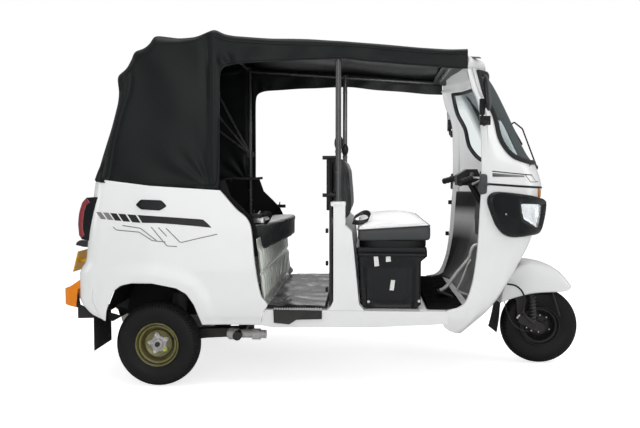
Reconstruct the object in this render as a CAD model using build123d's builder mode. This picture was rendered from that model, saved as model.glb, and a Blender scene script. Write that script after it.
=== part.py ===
"""Three-wheeled passenger auto rickshaw: open sides, folding vinyl hood and rear engine.

Frame: millimetres, +X forward, +Y to the vehicle's left, +Z up.
The origin is on the ground, under the middle of the vehicle's overall box.
"""
from build123d import *
from math import atan2, cos, hypot, radians, sin, tan
import os

os.makedirs("parts", exist_ok=True)

# ---------------------------------------------------------------- driving dimensions
LENGTH = 2674.0                     # front of the front tyre to the back of the bumper
TYRE_R = 209.0                      # 4.00-8 tyre
TYRE_HALF = 56.0
RIM_R = 109.0                       # lip of the 8 inch rim
BEAD_R = 101.0
WHEELBASE = 1985.0
TRACK = 1150.0
FRONT_X = LENGTH / 2 - TYRE_R       # front axle
REAR_X = FRONT_X - WHEELBASE        # rear axle
TAIL_X = -LENGTH / 2
REAR_Y = TRACK / 2
AXLE_Z = TYRE_R

SKIN = 5.0                          # sheet and moulded panels
SIDE_Y = 626.0                      # outside of the sills
SILL_IN = 560.0                     # inside of the sills
FLOOR_TOP = 388.0
FLOOR_T = 6.0
RAIL_TOP = FLOOR_TOP - FLOOR_T
BELT_Y = 602.0                      # rear tub at the hood's hem
HOOD_Y = 592.0
POST_X = 33.0                       # poles behind the driver
POLE_R = 14.0
TUBE_R = 11.0
TUBE_Y = 570.0
POST_IN = 552.0                     # inner faces of the middle posts
GAP = 5.0                           # between a moving piece and its neighbour

RAKE = 29.6                         # steering axis, from the vertical
HEAD = Vector(743.0, 0.0, 1000.0)   # a point on the steering axis, at the handlebar
AXIS = Vector(sin(radians(RAKE)), 0.0, -cos(radians(RAKE)))


def on_axis(z):
    """Point of the steering axis at height z."""
    return HEAD + AXIS * ((HEAD.Z - z) / cos(radians(RAKE)))


def finish(part, label):
    """Label a finished piece and write it."""
    part.label = label
    export_step(part, f"parts/{label}.step")


def prism(points, half):
    """Side outline (x, z), extruded to both sides of the middle plane."""
    with BuildPart() as block:
        with BuildSketch(Plane.XZ):
            with BuildLine():
                Polyline(*points, close=True)
            make_face()
        extrude(amount=half, both=True)
    return block.part


def side_slab(points, inner, outer):
    """Side outline (x, z) between two distances from the middle plane, on both sides."""
    with BuildPart() as slab:
        with BuildSketch(Plane.XZ.offset(inner)):
            with BuildLine():
                Polyline(*points, close=True)
            make_face()
        extrude(amount=outer - inner)
        mirror(about=Plane.XZ)
    return slab.part


def block(x0, x1, y0, y1, z0, z1):
    """Plain block between two corners, made outside any builder."""
    return Pos((x0 + x1) / 2, (y0 + y1) / 2, (z0 + z1) / 2) * Box(
        x1 - x0, y1 - y0, z1 - z0, mode=Mode.PRIVATE)


def rod(start, end, radius):
    """Plain round bar from start to end, made outside any builder."""
    run = Vector(*end) - Vector(*start)
    return Plane(origin=start, z_dir=run) * Cylinder(
        radius, run.length, align=(Align.CENTER, Align.CENTER, Align.MIN), mode=Mode.PRIVATE)


# ---------------------------------------------------------------- forms of the two white shells
# Front cowl, plan section at each height: half of it runs from the back edge along the side,
# then round the corner to the nose on the middle plane.
# height, end of straight side x, side y, corner x, corner y, nose x, corner radius
COWL = [
    (272, 600, 578, 640, 540, 700, 30),
    (310, 640, 600, 700, 525, 775, 60),
    (370, 676, 618, 778, 508, 870, 100),
    (430, 690, 620, 836, 500, 912, 130),
    (500, 700, 618, 885, 492, 955, 150),
    (700, 710, 612, 985, 480, 1058, 180),
    (860, 715, 610, 1022, 474, 1090, 190),
    (985, 718, 607, 1035, 470, 1103, 190),
    (1080, 718, 604, 1008, 468, 1076, 190),
    (1150, 714, 602, 960, 464, 1026, 190),
    (1330, 700, 596, 868, 455, 922, 180),
    (1556, 650, 588, 770, 442, 822, 150),
    (1640, 640, 582, 722, 430, 775, 120),
]
COWL_BACK = 520.0
HEADER_Z = 1556.0                   # seam between the cowl and the header over the screen


def cowl_form(inset, low=0.0, high=0.0):
    """Closed form of the cowl, drawn in by inset, carried on down by low, its top moved by high."""
    foot = [(COWL[0][0] - low, *COWL[0][1:])] if low else []
    top = (COWL[-1][0] + high, *COWL[-1][1:])
    with BuildPart() as form:
        for z, side_x, side_y, corner_x, corner_y, nose_x, radius in [*foot, *COWL[:-1], top]:
            back = COWL_BACK - (inset > 0) * 40
            with BuildSketch(Plane.XY.offset(z)):
                with BuildLine():
                    Polyline((corner_x - inset, -corner_y + inset), (side_x, -side_y + inset),
                             (back, -side_y + inset), (back, side_y - inset),
                             (side_x, side_y - inset), (corner_x - inset, corner_y - inset))
                    ThreePointArc((corner_x - inset, corner_y - inset), (nose_x - inset, 0),
                                  (corner_x - inset, -corner_y + inset))
                make_face()
                corners = vertices().filter_by_position(Axis.X, side_x - 1, 2000)
                fillet(corners.sort_by(Axis.X)[-2:], radius - inset)
                run = hypot(corner_x - side_x, side_y - corner_y)
                turn = atan2(side_y - corner_y, corner_x - side_x)
                ends = vertices().filter_by_position(Axis.X, side_x - 1, side_x + 1)
                fillet(ends, 0.3 * run / tan(turn / 2))
        loft(ruled=True)
    return form.part


# Rear tub, plan section at each height.
# height, rear face x, half width, radius of the rear corners
TUB = [
    (318, -1190, 640, 90),
    (375, -1225, 648, 90),
    (440, -1254, 651, 90),
    (555, -1254, 651, 90),
    (625, -1220, 649, 90),
    (760, -1208, 644, 90),
    (900, -1190, 628, 85),
    (1026, -1178, BELT_Y, 80),
]
TUB_FRONT = -290.0


def tub_form(inset, low=0.0, high=0.0):
    """Closed form of the rear tub, drawn in by inset, its end sections moved down or up."""
    with BuildPart() as form:
        for row, (z, rear_x, half, radius) in enumerate(TUB):
            z += -low if row == 0 else high if row == len(TUB) - 1 else 0
            front = TUB_FRONT + (inset > 0) * 40
            with BuildSketch(Plane.XY.offset(z)):
                with BuildLine():
                    Polyline((front, half - inset), (rear_x + inset, half - inset),
                             (rear_x + inset, -half + inset), (front, -half + inset), close=True)
                make_face()
                fillet(vertices().sort_by(Axis.X)[:2], radius - inset)
        loft(ruled=True)
    return form.part


# ---------------------------------------------------------------- chassis and floor
RAIL_Y = 255.0
RAIL_W = 50.0
RAIL_H = 60.0
PIVOT_X = -470.0                    # cross tube that carries the trailing arms
PIVOT_Z = 244.0
ENGINE = (-1060.0, -680.0, 210.0, 196.0, 520.0)   # x0, x1, half width, z0, z1
HEAD_TUBE_R = 30.0
STEM_R = 17.0

with BuildPart() as chassis_frame:
    for side in (-1, 1):
        add(block(-1175, 640, side * RAIL_Y - RAIL_W / 2, side * RAIL_Y + RAIL_W / 2,
                  RAIL_TOP - RAIL_H, RAIL_TOP))
        for x in (-1010, -730):
            inner = ENGINE[2]
            outer = RAIL_Y
            low, high = sorted((side * inner, side * outer))
            add(block(x - 20, x + 20, low, high, 330, 370))
    for x in (-1175, -560, -60, 590):
        add(block(x, x + 50, -RAIL_Y, RAIL_Y, RAIL_TOP - RAIL_H, RAIL_TOP))
    for x in (-330, 440):
        add(block(x, x + 40, -SILL_IN, SILL_IN, RAIL_TOP - 30, RAIL_TOP))
    add(rod((PIVOT_X, -SILL_IN, PIVOT_Z), (PIVOT_X, SILL_IN, PIVOT_Z), 22))
    for side in (-1, 1):
        add(block(PIVOT_X - 40, PIVOT_X + 40, side * RAIL_Y - 12, side * RAIL_Y + 12,
                  PIVOT_Z - 30, RAIL_TOP - RAIL_H))
    # neck up to the steering head
    neck = [(630, 330), (790, 345), (905, 690), (860, 700), (778, 430), (716, 378), (630, 378)]
    add(prism(neck, 24))
    add(rod(on_axis(655), on_axis(850), HEAD_TUBE_R))
    add(rod(on_axis(600), on_axis(900), STEM_R + GAP), mode=Mode.SUBTRACT)
finish(chassis_frame.part, "chassis_frame")

with BuildPart() as floor_pan:
    add(block(-352, 560, -SILL_IN, SILL_IN, RAIL_TOP, FLOOR_TOP))
    sill = [(-343, 316), (-288, 305), (205, 311), (480, 326), (560, 332), (560, 390), (-322, 390)]
    add(side_slab(sill, SILL_IN, SIDE_Y))
    toe = [(560, 382), (700, 384), (700, 390), (560, 388)]
    add(prism(toe, SILL_IN))
finish(floor_pan.part, "floor_pan")

with BuildPart() as floor_mat:
    add(block(-300, -14, -SILL_IN + 12, SILL_IN - 12, FLOOR_TOP, FLOOR_TOP + 4))
    add(block(480, 640, -SILL_IN + 12, SILL_IN - 12, FLOOR_TOP + 2, FLOOR_TOP + 6))
finish(floor_mat.part, "floor_mat")

with BuildPart() as step_plates:
    plate = [(-279, 393), (-43, 391), (-43, 350), (-167, 345), (-201, 322), (-276, 329)]
    add(side_slab(plate, SIDE_Y, SIDE_Y + 8))
finish(step_plates.part, "step_plates")

# ---------------------------------------------------------------- rear tub
DOOR_EDGE = [(-542, 972), (-521, 949), (-457, 878), (-407, 836), (-386, 793), (-366, 615),
             (-336, 459), (-306, 415), (-322, 391), (-343, 316)]
ARCH = [(-1106, 300), (-1094, 384), (-1056, 480), (-1019, 509), (-967, 520), (-865, 518),
        (-748, 497), (-698, 469), (-662, 418), (-616, 300)]
HEM = [(-1300, 1042), (-1145, 1023), (-887, 991), (-542, 970)]
LID = (430.0, 505.0, 880.0)         # half width, bottom, top of the opening behind the engine
LID_PIVOT = (-1202.0, 868.0)
BARREL_R = 7.0
HINGE_PIN_R = 3.0
KNUCKLE = 20.0                      # width of one fixed knuckle
KNUCKLES = (236.0, 324.0)           # their places, on either side of each lid barrel

tub_outer = tub_form(0)
tub_inner = tub_form(SKIN, low=10, high=10)
with BuildPart() as rear_tub:
    add(tub_outer)
    add(tub_inner, mode=Mode.SUBTRACT)
    front_void = DOOR_EDGE + [(-200, 300), (-200, 1100), (-542, 1100)]
    add(prism(front_void, 700), mode=Mode.SUBTRACT)
    add(prism(HEM + [(-542, 1100), (-1300, 1100)], 700), mode=Mode.SUBTRACT)
    add(prism(ARCH, 700), mode=Mode.SUBTRACT)
    add(block(-1300, -1100, -LID[0], LID[0], LID[1], LID[2]), mode=Mode.SUBTRACT)
    # rounded lower corners behind the wheels
    add(prism([(-1300, 300), (-1300, 470), (-1258, 420), (-1175, 361), (-1100, 352), (-1100, 300)],
              700), mode=Mode.SUBTRACT)
    # hinge knuckles and pins over the lid
    for side in (-1, 1):
        for y in KNUCKLES:
            add(rod((LID_PIVOT[0], side * (y - KNUCKLE / 2), LID_PIVOT[1]),
                    (LID_PIVOT[0], side * (y + KNUCKLE / 2), LID_PIVOT[1]), BARREL_R))
            low, high = sorted((side * (y - KNUCKLE / 2), side * (y + KNUCKLE / 2)))
            add(block(LID_PIVOT[0] - 3, LID_PIVOT[0] + 3, low, high, LID_PIVOT[1] + 4, LID[2] + 14))
            add(block(LID_PIVOT[0] - 3, -1187, low, high, LID[2] + 4, LID[2] + 14))
        add(rod((LID_PIVOT[0], side * KNUCKLES[0], LID_PIVOT[1]),
                (LID_PIVOT[0], side * KNUCKLES[1], LID_PIVOT[1]), HINGE_PIN_R))
finish(rear_tub.part, "rear_tub")

LINER_IN = 300.0                    # inner walls of the wheel arches
LINER_T = 4.0
arch_top = ARCH[1:-1]
with BuildPart() as arch_liners:
    strip = [(x, z + 0.5) for x, z in arch_top] + [(x, z + LINER_T) for x, z in reversed(arch_top)]
    add(side_slab(strip, LINER_IN, 640) & tub_form(SKIN + 0.5, low=10))
    add(side_slab([(x, z + 0.5) for x, z in ARCH], LINER_IN, LINER_IN + LINER_T))
    for side in (-1, 1):
        low, high = sorted((side * (LINER_IN - 5), side * (LINER_IN + LINER_T + 5)))
        add(block(-805, -745, low, high, 474, 498), mode=Mode.SUBTRACT)
finish(arch_liners.part, "arch_liners")

# ---------------------------------------------------------------- front cowl, screen and header
DOOR_FRONT = [(500, 391), (545, 391), (600, 402), (640, 430), (662, 475), (685, 563), (702, 700),
              (712, 880), (718, 985), (718, 1109), (711, 1309), (694, 1402), (667, 1462),
              (646, 1545), (643, 1660), (480, 1660), (480, 391)]
SCREEN = [(704, 1540), (735, 1425), (784, 1323), (808, 1227), (846, 1166), (892, 1131),
          (970, 1106), (1200, 1112), (1200, 1540)]
SCREEN_T = 5.0
ARCH_Y = 300.0                      # half width of the front wheel's opening
ARCH_TOP = 625.0

cowl_outer = cowl_form(0)
cowl_inner = cowl_form(SKIN, low=20, high=-SKIN)
cowl_rim = cowl_form(26, low=20, high=-26)
door_void = prism(DOOR_FRONT, 700)
screen_void = prism(SCREEN, 700)
edge_band = prism([(x + 34, z) for x, z in DOOR_FRONT[1:-2]] + [(600, 1660), (400, 1660), (400, 391)],
                  700)
above_seam = block(400, 1200, -700, 700, HEADER_Z, 1700)
behind = block(400, COWL_BACK + 40, -700, 700, 100, 1700)

with BuildPart() as arch_void:
    with BuildSketch(Plane.YZ.offset(640)):
        with BuildLine():
            Polyline((-ARCH_Y, 100), (-ARCH_Y, 460), (-150, ARCH_TOP), (150, ARCH_TOP),
                     (ARCH_Y, 460), (ARCH_Y, 100), close=True)
        make_face()
        fillet(vertices().sort_by(Axis.Y)[-2:], 120)
    extrude(amount=600)

cowl_void = cowl_inner - (edge_band - cowl_rim)
with BuildPart() as front_cowl:
    add(cowl_outer)
    add(cowl_void, mode=Mode.SUBTRACT)
    add(door_void, mode=Mode.SUBTRACT)
    add(screen_void, mode=Mode.SUBTRACT)
    add(above_seam, mode=Mode.SUBTRACT)
    add(arch_void.part, mode=Mode.SUBTRACT)
    add(behind, mode=Mode.SUBTRACT)
    # lower edge, rising to the sill behind
    add(prism([(400, 200), (400, 330), (541, 315), (577, 286), (628, 272), (640, 200)], 700),
        mode=Mode.SUBTRACT)
finish(front_cowl.part, "front_cowl")

with BuildPart() as header:
    add((cowl_outer - cowl_inner) & above_seam)
    add(block(400, 643, -700, 700, 1500, 1700), mode=Mode.SUBTRACT)
finish(header.part, "header")

with BuildPart() as windscreen:
    add((cowl_outer - cowl_inner) & screen_void)
finish(windscreen.part, "windscreen")

# ---------------------------------------------------------------- footwell and dash
apron_line = [(700, 390), (756, 470), (812, 640), (838, 780), (872, 900), (918, 1040), (985, 1108),
              (1100, 1130)]
column_void = rod(on_axis(560), on_axis(1060), STEM_R + 25)
apron_slab = prism(apron_line + [(x - SKIN * 0.6, z + SKIN) for x, z in reversed(apron_line)], 700)
with BuildPart() as inner_apron:
    add(apron_slab & cowl_inner)
    add(column_void, mode=Mode.SUBTRACT)
    add(rod(on_axis(600), on_axis(900), HEAD_TUBE_R + 1), mode=Mode.SUBTRACT)
finish(inner_apron.part, "inner_apron")

with BuildPart() as dash_panel:
    with BuildSketch(Plane.XZ):
        with BuildLine():
            Polyline((827, 1062), (935, 1078), (912, 1044), (866, 902), (832, 780), (817, 700),
                     (806, 700), (800, 800), (812, 920), close=True)
        make_face()
    extrude(amount=200, both=True)
    add(rod(on_axis(560), on_axis(1100), STEM_R + 16), mode=Mode.SUBTRACT)
    add(rod(on_axis(560), on_axis(870), HEAD_TUBE_R + 1), mode=Mode.SUBTRACT)
finish(dash_panel.part, "dash_panel")

with BuildPart() as brake_pedal:
    add(prism([(752, 610), (764, 604), (600, 400), (540, 394), (530, 404), (588, 412)], 12)
        .moved(Location((0, -250, 0))))
    add(block(520, 600, -300, -200, 404, 414))
finish(brake_pedal.part, "brake_pedal")

# ---------------------------------------------------------------- lamps of the cowl
POD = [(744, 926), (755, 955), (785, 967), (825, 966), (986, 944), (1056, 926), (1200, 912),
       (1200, 744), (1034, 748), (887, 741), (838, 750), (806, 772), (784, 808)]
LENS = [(962, 894), (1200, 886), (1200, 768), (1038, 766), (983, 799)]
pod_reach = side_slab(POD, 250, 700)
lens_reach = side_slab(LENS, 270, 700)
pod_form = cowl_form(-28)
pod_face = cowl_form(-20)
with BuildPart() as headlamp_pods:
    add((pod_form - cowl_outer) & pod_reach)
    add((pod_form - pod_face) & lens_reach, mode=Mode.SUBTRACT)
finish(headlamp_pods.part, "headlamp_pods")
with BuildPart() as headlamp_lenses:
    add((pod_form - pod_face) & lens_reach)
finish(headlamp_lenses.part, "headlamp_lenses")

# ---------------------------------------------------------------- middle posts and partition
POST = [(-3, 405), (12, 435), (12, 894), (1, 896), (1, 909), (68, 909), (68, 801), (100, 772),
        (108, 698), (135, 421), (161, 391), (-20, 391)]
with BuildPart() as middle_posts:
    add(side_slab(POST, POST_IN, SIDE_Y))
finish(middle_posts.part, "middle_posts")

with BuildPart() as partition:
    add(block(-12, 0, -POST_IN, POST_IN, FLOOR_TOP, 900))
finish(partition.part, "partition")

# ---------------------------------------------------------------- seats
with BuildPart() as driver_seat_box:
    with BuildSketch(Plane.XZ):
        with BuildLine():
            Polyline((122, 664), (461, 690), (466, 646), (437, 621), (437, 410), (415, 388),
                     (165, 388), (141, 411), close=True)
        make_face()
        fillet(vertices().sort_by(Axis.Y)[:2], 14)
    extrude(amount=550, both=True)
    offset(amount=-SKIN, openings=faces().sort_by(Axis.Z)[0])
finish(driver_seat_box.part, "driver_seat_box")

with BuildPart() as driver_cushion:
    with BuildSketch(Plane.XZ):
        with BuildLine():
            Polyline((122, 664), (121, 765), (423, 788), (477, 750), (477, 692), (461, 690),
                     close=True)
        make_face()
        fillet(vertices().group_by(Axis.Y)[-1], 25)
    extrude(amount=560, both=True)
finish(driver_cushion.part, "driver_cushion")

with BuildPart() as driver_backrest:
    with BuildSketch(Plane.XZ):
        with BuildLine():
            Polyline((6, 815), (6, 1130), (63, 1136), (91, 1068), (106, 925), (110, 840), (90, 815),
                     close=True)
        make_face()
    extrude(amount=430, both=True)
finish(driver_backrest.part, "driver_backrest")

BENCH_Z = 640.0
with BuildPart() as bench_panel:
    with BuildSketch(Plane.XZ):
        with BuildLine():
            Polyline((-330, FLOOR_TOP), (-352, BENCH_Z), (-1196, BENCH_Z),
                     (-1196, BENCH_Z - SKIN), (-357, BENCH_Z - SKIN), (-336, FLOOR_TOP), close=True)
        make_face()
    extrude(amount=632, both=True)
bench_fit = bench_panel.part & tub_inner
with BuildPart() as bench_panel:
    add(bench_fit)
finish(bench_panel.part, "bench_panel")

with BuildPart() as passenger_cushion:
    with BuildSketch(Plane.XY.offset(BENCH_Z + 8)):
        with BuildLine():
            Polyline((-398, -545), (-820, -545), (-820, 545), (-398, 545))
            ThreePointArc((-398, 545), (-233, 0), (-398, -545))
        make_face()
    extrude(amount=140)
    fillet(edges().group_by(Axis.Z)[-1], 35)
finish(passenger_cushion.part, "passenger_cushion")

with BuildPart() as passenger_backrest:
    with BuildSketch(Plane.XZ):
        with BuildLine():
            Polyline((-822, BENCH_Z + 2), (-920, 1190), (-1000, 1190), (-960, BENCH_Z + 2),
                     close=True)
        make_face()
    extrude(amount=530, both=True)
finish(passenger_backrest.part, "passenger_backrest")

TRIM = [(-520, 1020), (-490, 936), (-430, 878), (-385, 830), (-362, 780), (-358, 645),
        (-1150, 645), (-1150, 960)]
with BuildPart() as inner_trims:
    add(side_slab(TRIM, 582, 586))
finish(inner_trims.part, "inner_trims")

# ---------------------------------------------------------------- hood and its frame
# crown line of the hood from the hem at the back to the front edge, x and z
CROWN = [(-1165, 1030), (-1159, 1059), (-1132, 1141), (-1084, 1284), (-1051, 1403), (-1047, 1459),
         (-1055, 1530), (-1010, 1566), (-981, 1612), (-968, 1646), (-921, 1661), (-888, 1688),
         (-866, 1721), (-749, 1709), (-567, 1750), (-474, 1716), (-289, 1698), (59, 1686),
         (420, 1651), (641, 1643)]
HOOD_HEM = [(641, 1547), (528, 1551), (425, 1563), (200, 1581), (78, 1600), (-26, 1606),
            (-108, 1601), (-305, 1588), (-515, 1578), (-541, 1560), (-545, 972), (-906, 994),
            (-1150, 1027)]
HOOD_T = 6.0
BOWS = [(-1036, 1520), (-951, 1632), (-856, 1700)]       # cross bows under the crown

with BuildPart() as hood_form:
    with BuildSketch(Plane.XZ):
        with BuildLine():
            Polyline(*CROWN, *HOOD_HEM, close=True)
        make_face()
    extrude(amount=HOOD_Y + 10, both=True)
hood_section = [(-HOOD_Y - 9, 900), (-HOOD_Y - 9, 1040), (-HOOD_Y, 1480), (-HOOD_Y, 1900),
                (HOOD_Y, 1900), (HOOD_Y, 1480), (HOOD_Y + 9, 1040), (HOOD_Y + 9, 900)]
with BuildPart() as hood_width:
    with BuildSketch(Plane.YZ.offset(-1400)):
        with BuildLine():
            Polyline(*hood_section, close=True)
        make_face()
    extrude(amount=2200)
with BuildPart() as hood_inside:
    with BuildSketch(Plane.XZ):
        with BuildLine():
            Polyline(*CROWN, (641, 900), (-1166, 900), close=True)
        make_face()
        offset(amount=-HOOD_T)
    extrude(amount=HOOD_Y - HOOD_T, both=True)
with BuildPart() as hood_ends:
    add(block(600, 700, -HOOD_Y + HOOD_T, HOOD_Y - HOOD_T, 900, CROWN[-1][1] - HOOD_T))
window_box = block(-1300, -1000, -310, 310, 1170, 1390)
hood_shell = hood_form.part & hood_width.part
hood_shell = hood_shell - hood_inside.part - hood_ends.part
with BuildPart() as hood:
    add(hood_shell)
    add(window_box, mode=Mode.SUBTRACT)
finish(hood.part, "hood")
with BuildPart() as rear_window:
    add(hood_shell & window_box)
finish(rear_window.part, "rear_window")

PILLAR_X = -574.0
FAN_Z = 1170.0                      # pivots of the folding bows, on the rear pillars
RAIL_FRONT = (630.0, 1612.0)
RAIL_BACK = 1699.0
with BuildPart() as hood_frame:
    for x, z in BOWS:
        with BuildLine() as bow:
            FilletPolyline((PILLAR_X, -TUBE_Y, FAN_Z), (x, -TUBE_Y, z), (x, TUBE_Y, z),
                           (PILLAR_X, TUBE_Y, FAN_Z), radius=50)
        with BuildSketch(Plane(bow.line @ 0, z_dir=bow.line % 0)):
            Circle(8)
        sweep()
    for side in (-1, 1):
        y = side * TUBE_Y
        add(rod((PILLAR_X, y, BENCH_Z), (PILLAR_X, y, 1712), TUBE_R))
        add(rod((PILLAR_X, y - 9, FAN_Z), (PILLAR_X, y + 9, FAN_Z), 24))
        add(rod((PILLAR_X, y, RAIL_BACK), (RAIL_FRONT[0], y, RAIL_FRONT[1]), TUBE_R - 1))
        add(rod((POST_X, y, 909), (POST_X, y, 1670), POLE_R))
    add(rod((PILLAR_X, -TUBE_Y, 1702), (PILLAR_X, TUBE_Y, 1702), TUBE_R - 2))
    add(rod((615, -TUBE_Y, 1613), (615, TUBE_Y, 1613), TUBE_R - 2))
finish(hood_frame.part, "hood_frame")

BAR_X = -18.0
with BuildPart() as grab_rail:
    for z in (1128, 945):
        add(rod((BAR_X, -TUBE_Y + 12, z), (BAR_X, TUBE_Y - 12, z), 9))
        for y in (-400, 400):
            add(rod((BAR_X, y, z), (6, y, z), 6))
        for side in (-1, 1):
            add(rod((BAR_X, side * (TUBE_Y - 14), z), (POST_X, side * (TUBE_Y - 5), z), 7))
    for y in (-520, -180, 180, 520):
        add(rod((BAR_X, y, 870), (BAR_X, y, 1128), 9))
    add(block(-12, 0, -POST_IN, POST_IN, FLOOR_TOP, 900), mode=Mode.SUBTRACT)
    for side in (-1, 1):
        add(rod((POST_X, side * TUBE_Y, 909), (POST_X, side * TUBE_Y, 1670), POLE_R),
            mode=Mode.SUBTRACT)
finish(grab_rail.part, "grab_rail")

# ---------------------------------------------------------------- engine and rear running gear
with BuildPart() as engine_block:
    x0, x1, half, z0, z1 = ENGINE
    add(block(x0, x1, -half, half, z0, z1))
    fillet(edges().filter_by(Axis.Z), 25)
finish(engine_block.part, "engine_block")

with BuildPart() as silencer:
    add(rod((-1122, -200, 262), (-1122, 200, 262), 52))
    add(rod((-1075, 150, 262), (-1060, 150, 262), 18))
    add(rod((-1122, -200, 262), (-1122, -250, 262), 15))
finish(silencer.part, "silencer")

ARM_Y = 440.0
SHAFT_R = 12.0
with BuildPart() as trailing_arms:
    arm = [(PIVOT_X + 30, 226), (PIVOT_X + 30, 268), (-640, 262), (-880, 236), (-880, 182),
           (-640, 214)]
    add(side_slab(arm, ARM_Y - 30, ARM_Y + 30))
    add(rod((PIVOT_X, -SILL_IN, PIVOT_Z), (PIVOT_X, SILL_IN, PIVOT_Z), 22), mode=Mode.SUBTRACT)
    for side in (-1, 1):
        add(rod((REAR_X, side * (ARM_Y + 20), AXLE_Z), (REAR_X, side * (REAR_Y + 42), AXLE_Z), SHAFT_R))
        add(rod((REAR_X, side * ENGINE[2], AXLE_Z), (REAR_X, side * (ARM_Y - 28), AXLE_Z), 16))
finish(trailing_arms.part, "trailing_arms")

with BuildPart() as rear_shocks:
    for side in (-1, 1):
        y = side * ARM_Y
        add(rod((-800, y, 245), (-775, y, 470), 14))
        add(rod((-797, y, 275), (-778, y, 440), 38))
        add(rod((-776, y, 455), (-774, y, 480), 22))
        low, high = sorted((side * (RAIL_Y + RAIL_W / 2), side * (ARM_Y + 22)))
        add(block(-800, -750, low, high, 480, 492))
        low, high = sorted((side * (RAIL_Y + RAIL_W / 2 - 10), side * (RAIL_Y + RAIL_W / 2)))
        add(block(-800, -750, low, high, RAIL_TOP, 492))
finish(rear_shocks.part, "rear_shocks")

# ---------------------------------------------------------------- tail
with BuildPart() as rear_bumper:
    with BuildSketch(Plane.XY.offset(380)):
        with BuildLine():
            FilletPolyline((-1241, 600), (TAIL_X, 600), (TAIL_X, -600), (-1241, -600), radius=48)
            FilletPolyline((-1241, -594), (TAIL_X + 6, -594), (TAIL_X + 6, 594), (-1241, 594),
                           radius=42)
            Line((-1241, 600), (-1241, 594))
            Line((-1241, -594), (-1241, -600))
        make_face()
    extrude(amount=160)
    add(prism([(-1241, 529), (-1318, 478), (-1400, 474), (-1400, 393), (-1318, 399), (-1268, 388),
               (-1259, 475), (-1241, 488)], 700), mode=Mode.INTERSECT)
    add(tub_outer, mode=Mode.SUBTRACT)
    for side in (-1, 1):
        low, high = sorted((side * 380, side * 420))
        add(block(-1332, -1255, low, high, 400, 440))
finish(rear_bumper.part, "rear_bumper")

with BuildPart() as bumper_brackets:
    bracket = [(-1325, 455), (-1325, 402), (-1270, 381), (-1270, 327), (-1172, 330), (-1172, 348),
               (-1262, 395), (-1270, 455)]
    add(side_slab(bracket, 556, 572))
    add(block(-1225, -1175, -572, 572, 330, 342))
    for side in (-1, 1):
        low, high = sorted((side * 395, side * 572))
        add(block(-1175, -1166, low, high, 330, 342))
finish(bumper_brackets.part, "bumper_brackets")

with BuildPart() as rear_mud_flaps:
    for side in (-1, 1):
        low, high = sorted((side * 395, side * 636))
        add(block(-1166, -1162, low, high, 180, 343))
finish(rear_mud_flaps.part, "rear_mud_flaps")

TAIL_LAMP = [(-1130, 936), (-1200, 933), (-1221, 910), (-1239, 854), (-1245, 801), (-1241, 748),
             (-1228, 728), (-1197, 722), (-1130, 720)]
tail_slab = side_slab(TAIL_LAMP, 470, 612)
tail_lens_slab = side_slab(TAIL_LAMP, 478, 604)
lens_cut = [(-1300, 940), (-1206, 914), (-1224, 856), (-1230, 794), (-1228, 748), (-1300, 700)]
lens_zone = prism(lens_cut, 700)
with BuildPart() as tail_lamp_housings:
    add(tail_slab)
    add(tub_outer, mode=Mode.SUBTRACT)
    add(tail_lens_slab & lens_zone, mode=Mode.SUBTRACT)
finish(tail_lamp_housings.part, "tail_lamp_housings")
with BuildPart() as tail_lamp_lenses:
    add(tail_lens_slab & lens_zone)
finish(tail_lamp_lenses.part, "tail_lamp_lenses")

# engine lid, hung at its top edge inside the opening of the tub
with BuildPart() as rear_lid:
    zone = block(-1300, -1150, -LID[0] + GAP, LID[0] - GAP, LID[1] + GAP, LID[2] - GAP)
    add((tub_outer - tub_inner) & zone)
    barrel_ends = (KNUCKLES[0] + KNUCKLE / 2 + 3, KNUCKLES[1] - KNUCKLE / 2 - 3)
    for side in (-1, 1):
        start, end = [(LID_PIVOT[0], side * y, LID_PIVOT[1]) for y in barrel_ends]
        low, high = sorted((start[1], end[1]))
        add(block(LID_PIVOT[0] - 3, -1190, low, high, LID_PIVOT[1] - 14, LID_PIVOT[1] - 2))
        add(rod(start, end, BARREL_R))
        add(rod(start, end, HINGE_PIN_R + 0.2), mode=Mode.SUBTRACT)
finish(rear_lid.part, "rear_lid")

with BuildPart() as number_plate:
    with BuildSketch(Plane.XZ.offset(-38)):
        with BuildLine():
            Polyline((-1305, 650), (-1333, 545), (-1337, 546), (-1309, 651), close=True)
        make_face()
    extrude(amount=500)
    for y in (-390, -90):
        add(prism([(-1212, 618), (-1212, 598), (-1321, 590), (-1317, 606)], 12)
            .moved(Location((0, y, 0))))
    add(prism([(-1336, 680), (-1331, 694), (-1317, 704), (-1200, 706), (-1200, 668), (-1293, 670)],
              18).moved(Location((0, -402, 0))))
    add(tub_outer, mode=Mode.SUBTRACT)
finish(number_plate.part, "number_plate")

# ---------------------------------------------------------------- mirrors and wiper
with BuildPart() as mirrors:
    head = [(693, 1496), (707, 1504), (723, 1482), (731, 1427), (737, 1325), (712, 1316),
            (702, 1325), (695, 1399)]
    add(side_slab(head, 640, 780))
    for side in (-1, 1):
        add(rod((712, side * 596, 1281), (718, side * 655, 1330), 7))
        low, high = sorted((side * 590, side * 606))
        add(block(698, 742, low, high, 1262, 1300))
    add(cowl_outer, mode=Mode.SUBTRACT)
finish(mirrors.part, "mirrors")

with BuildPart() as wiper:
    add(rod((1060, -100, 1083), (1090, -100, 1083), 11))
    add(cowl_outer, mode=Mode.SUBTRACT)
    add(rod((1086, -100, 1083), (1006, -100, 1291), 4))
    add(rod((1006, -100, 1291), (962, -100, 1326), 4))
    add(rod((962, -100, 1326), (944, -100, 1313), 4))
    add(rod((1006, -100, 1205), (899, -100, 1392), 5))
finish(wiper.part, "wiper")


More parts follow.
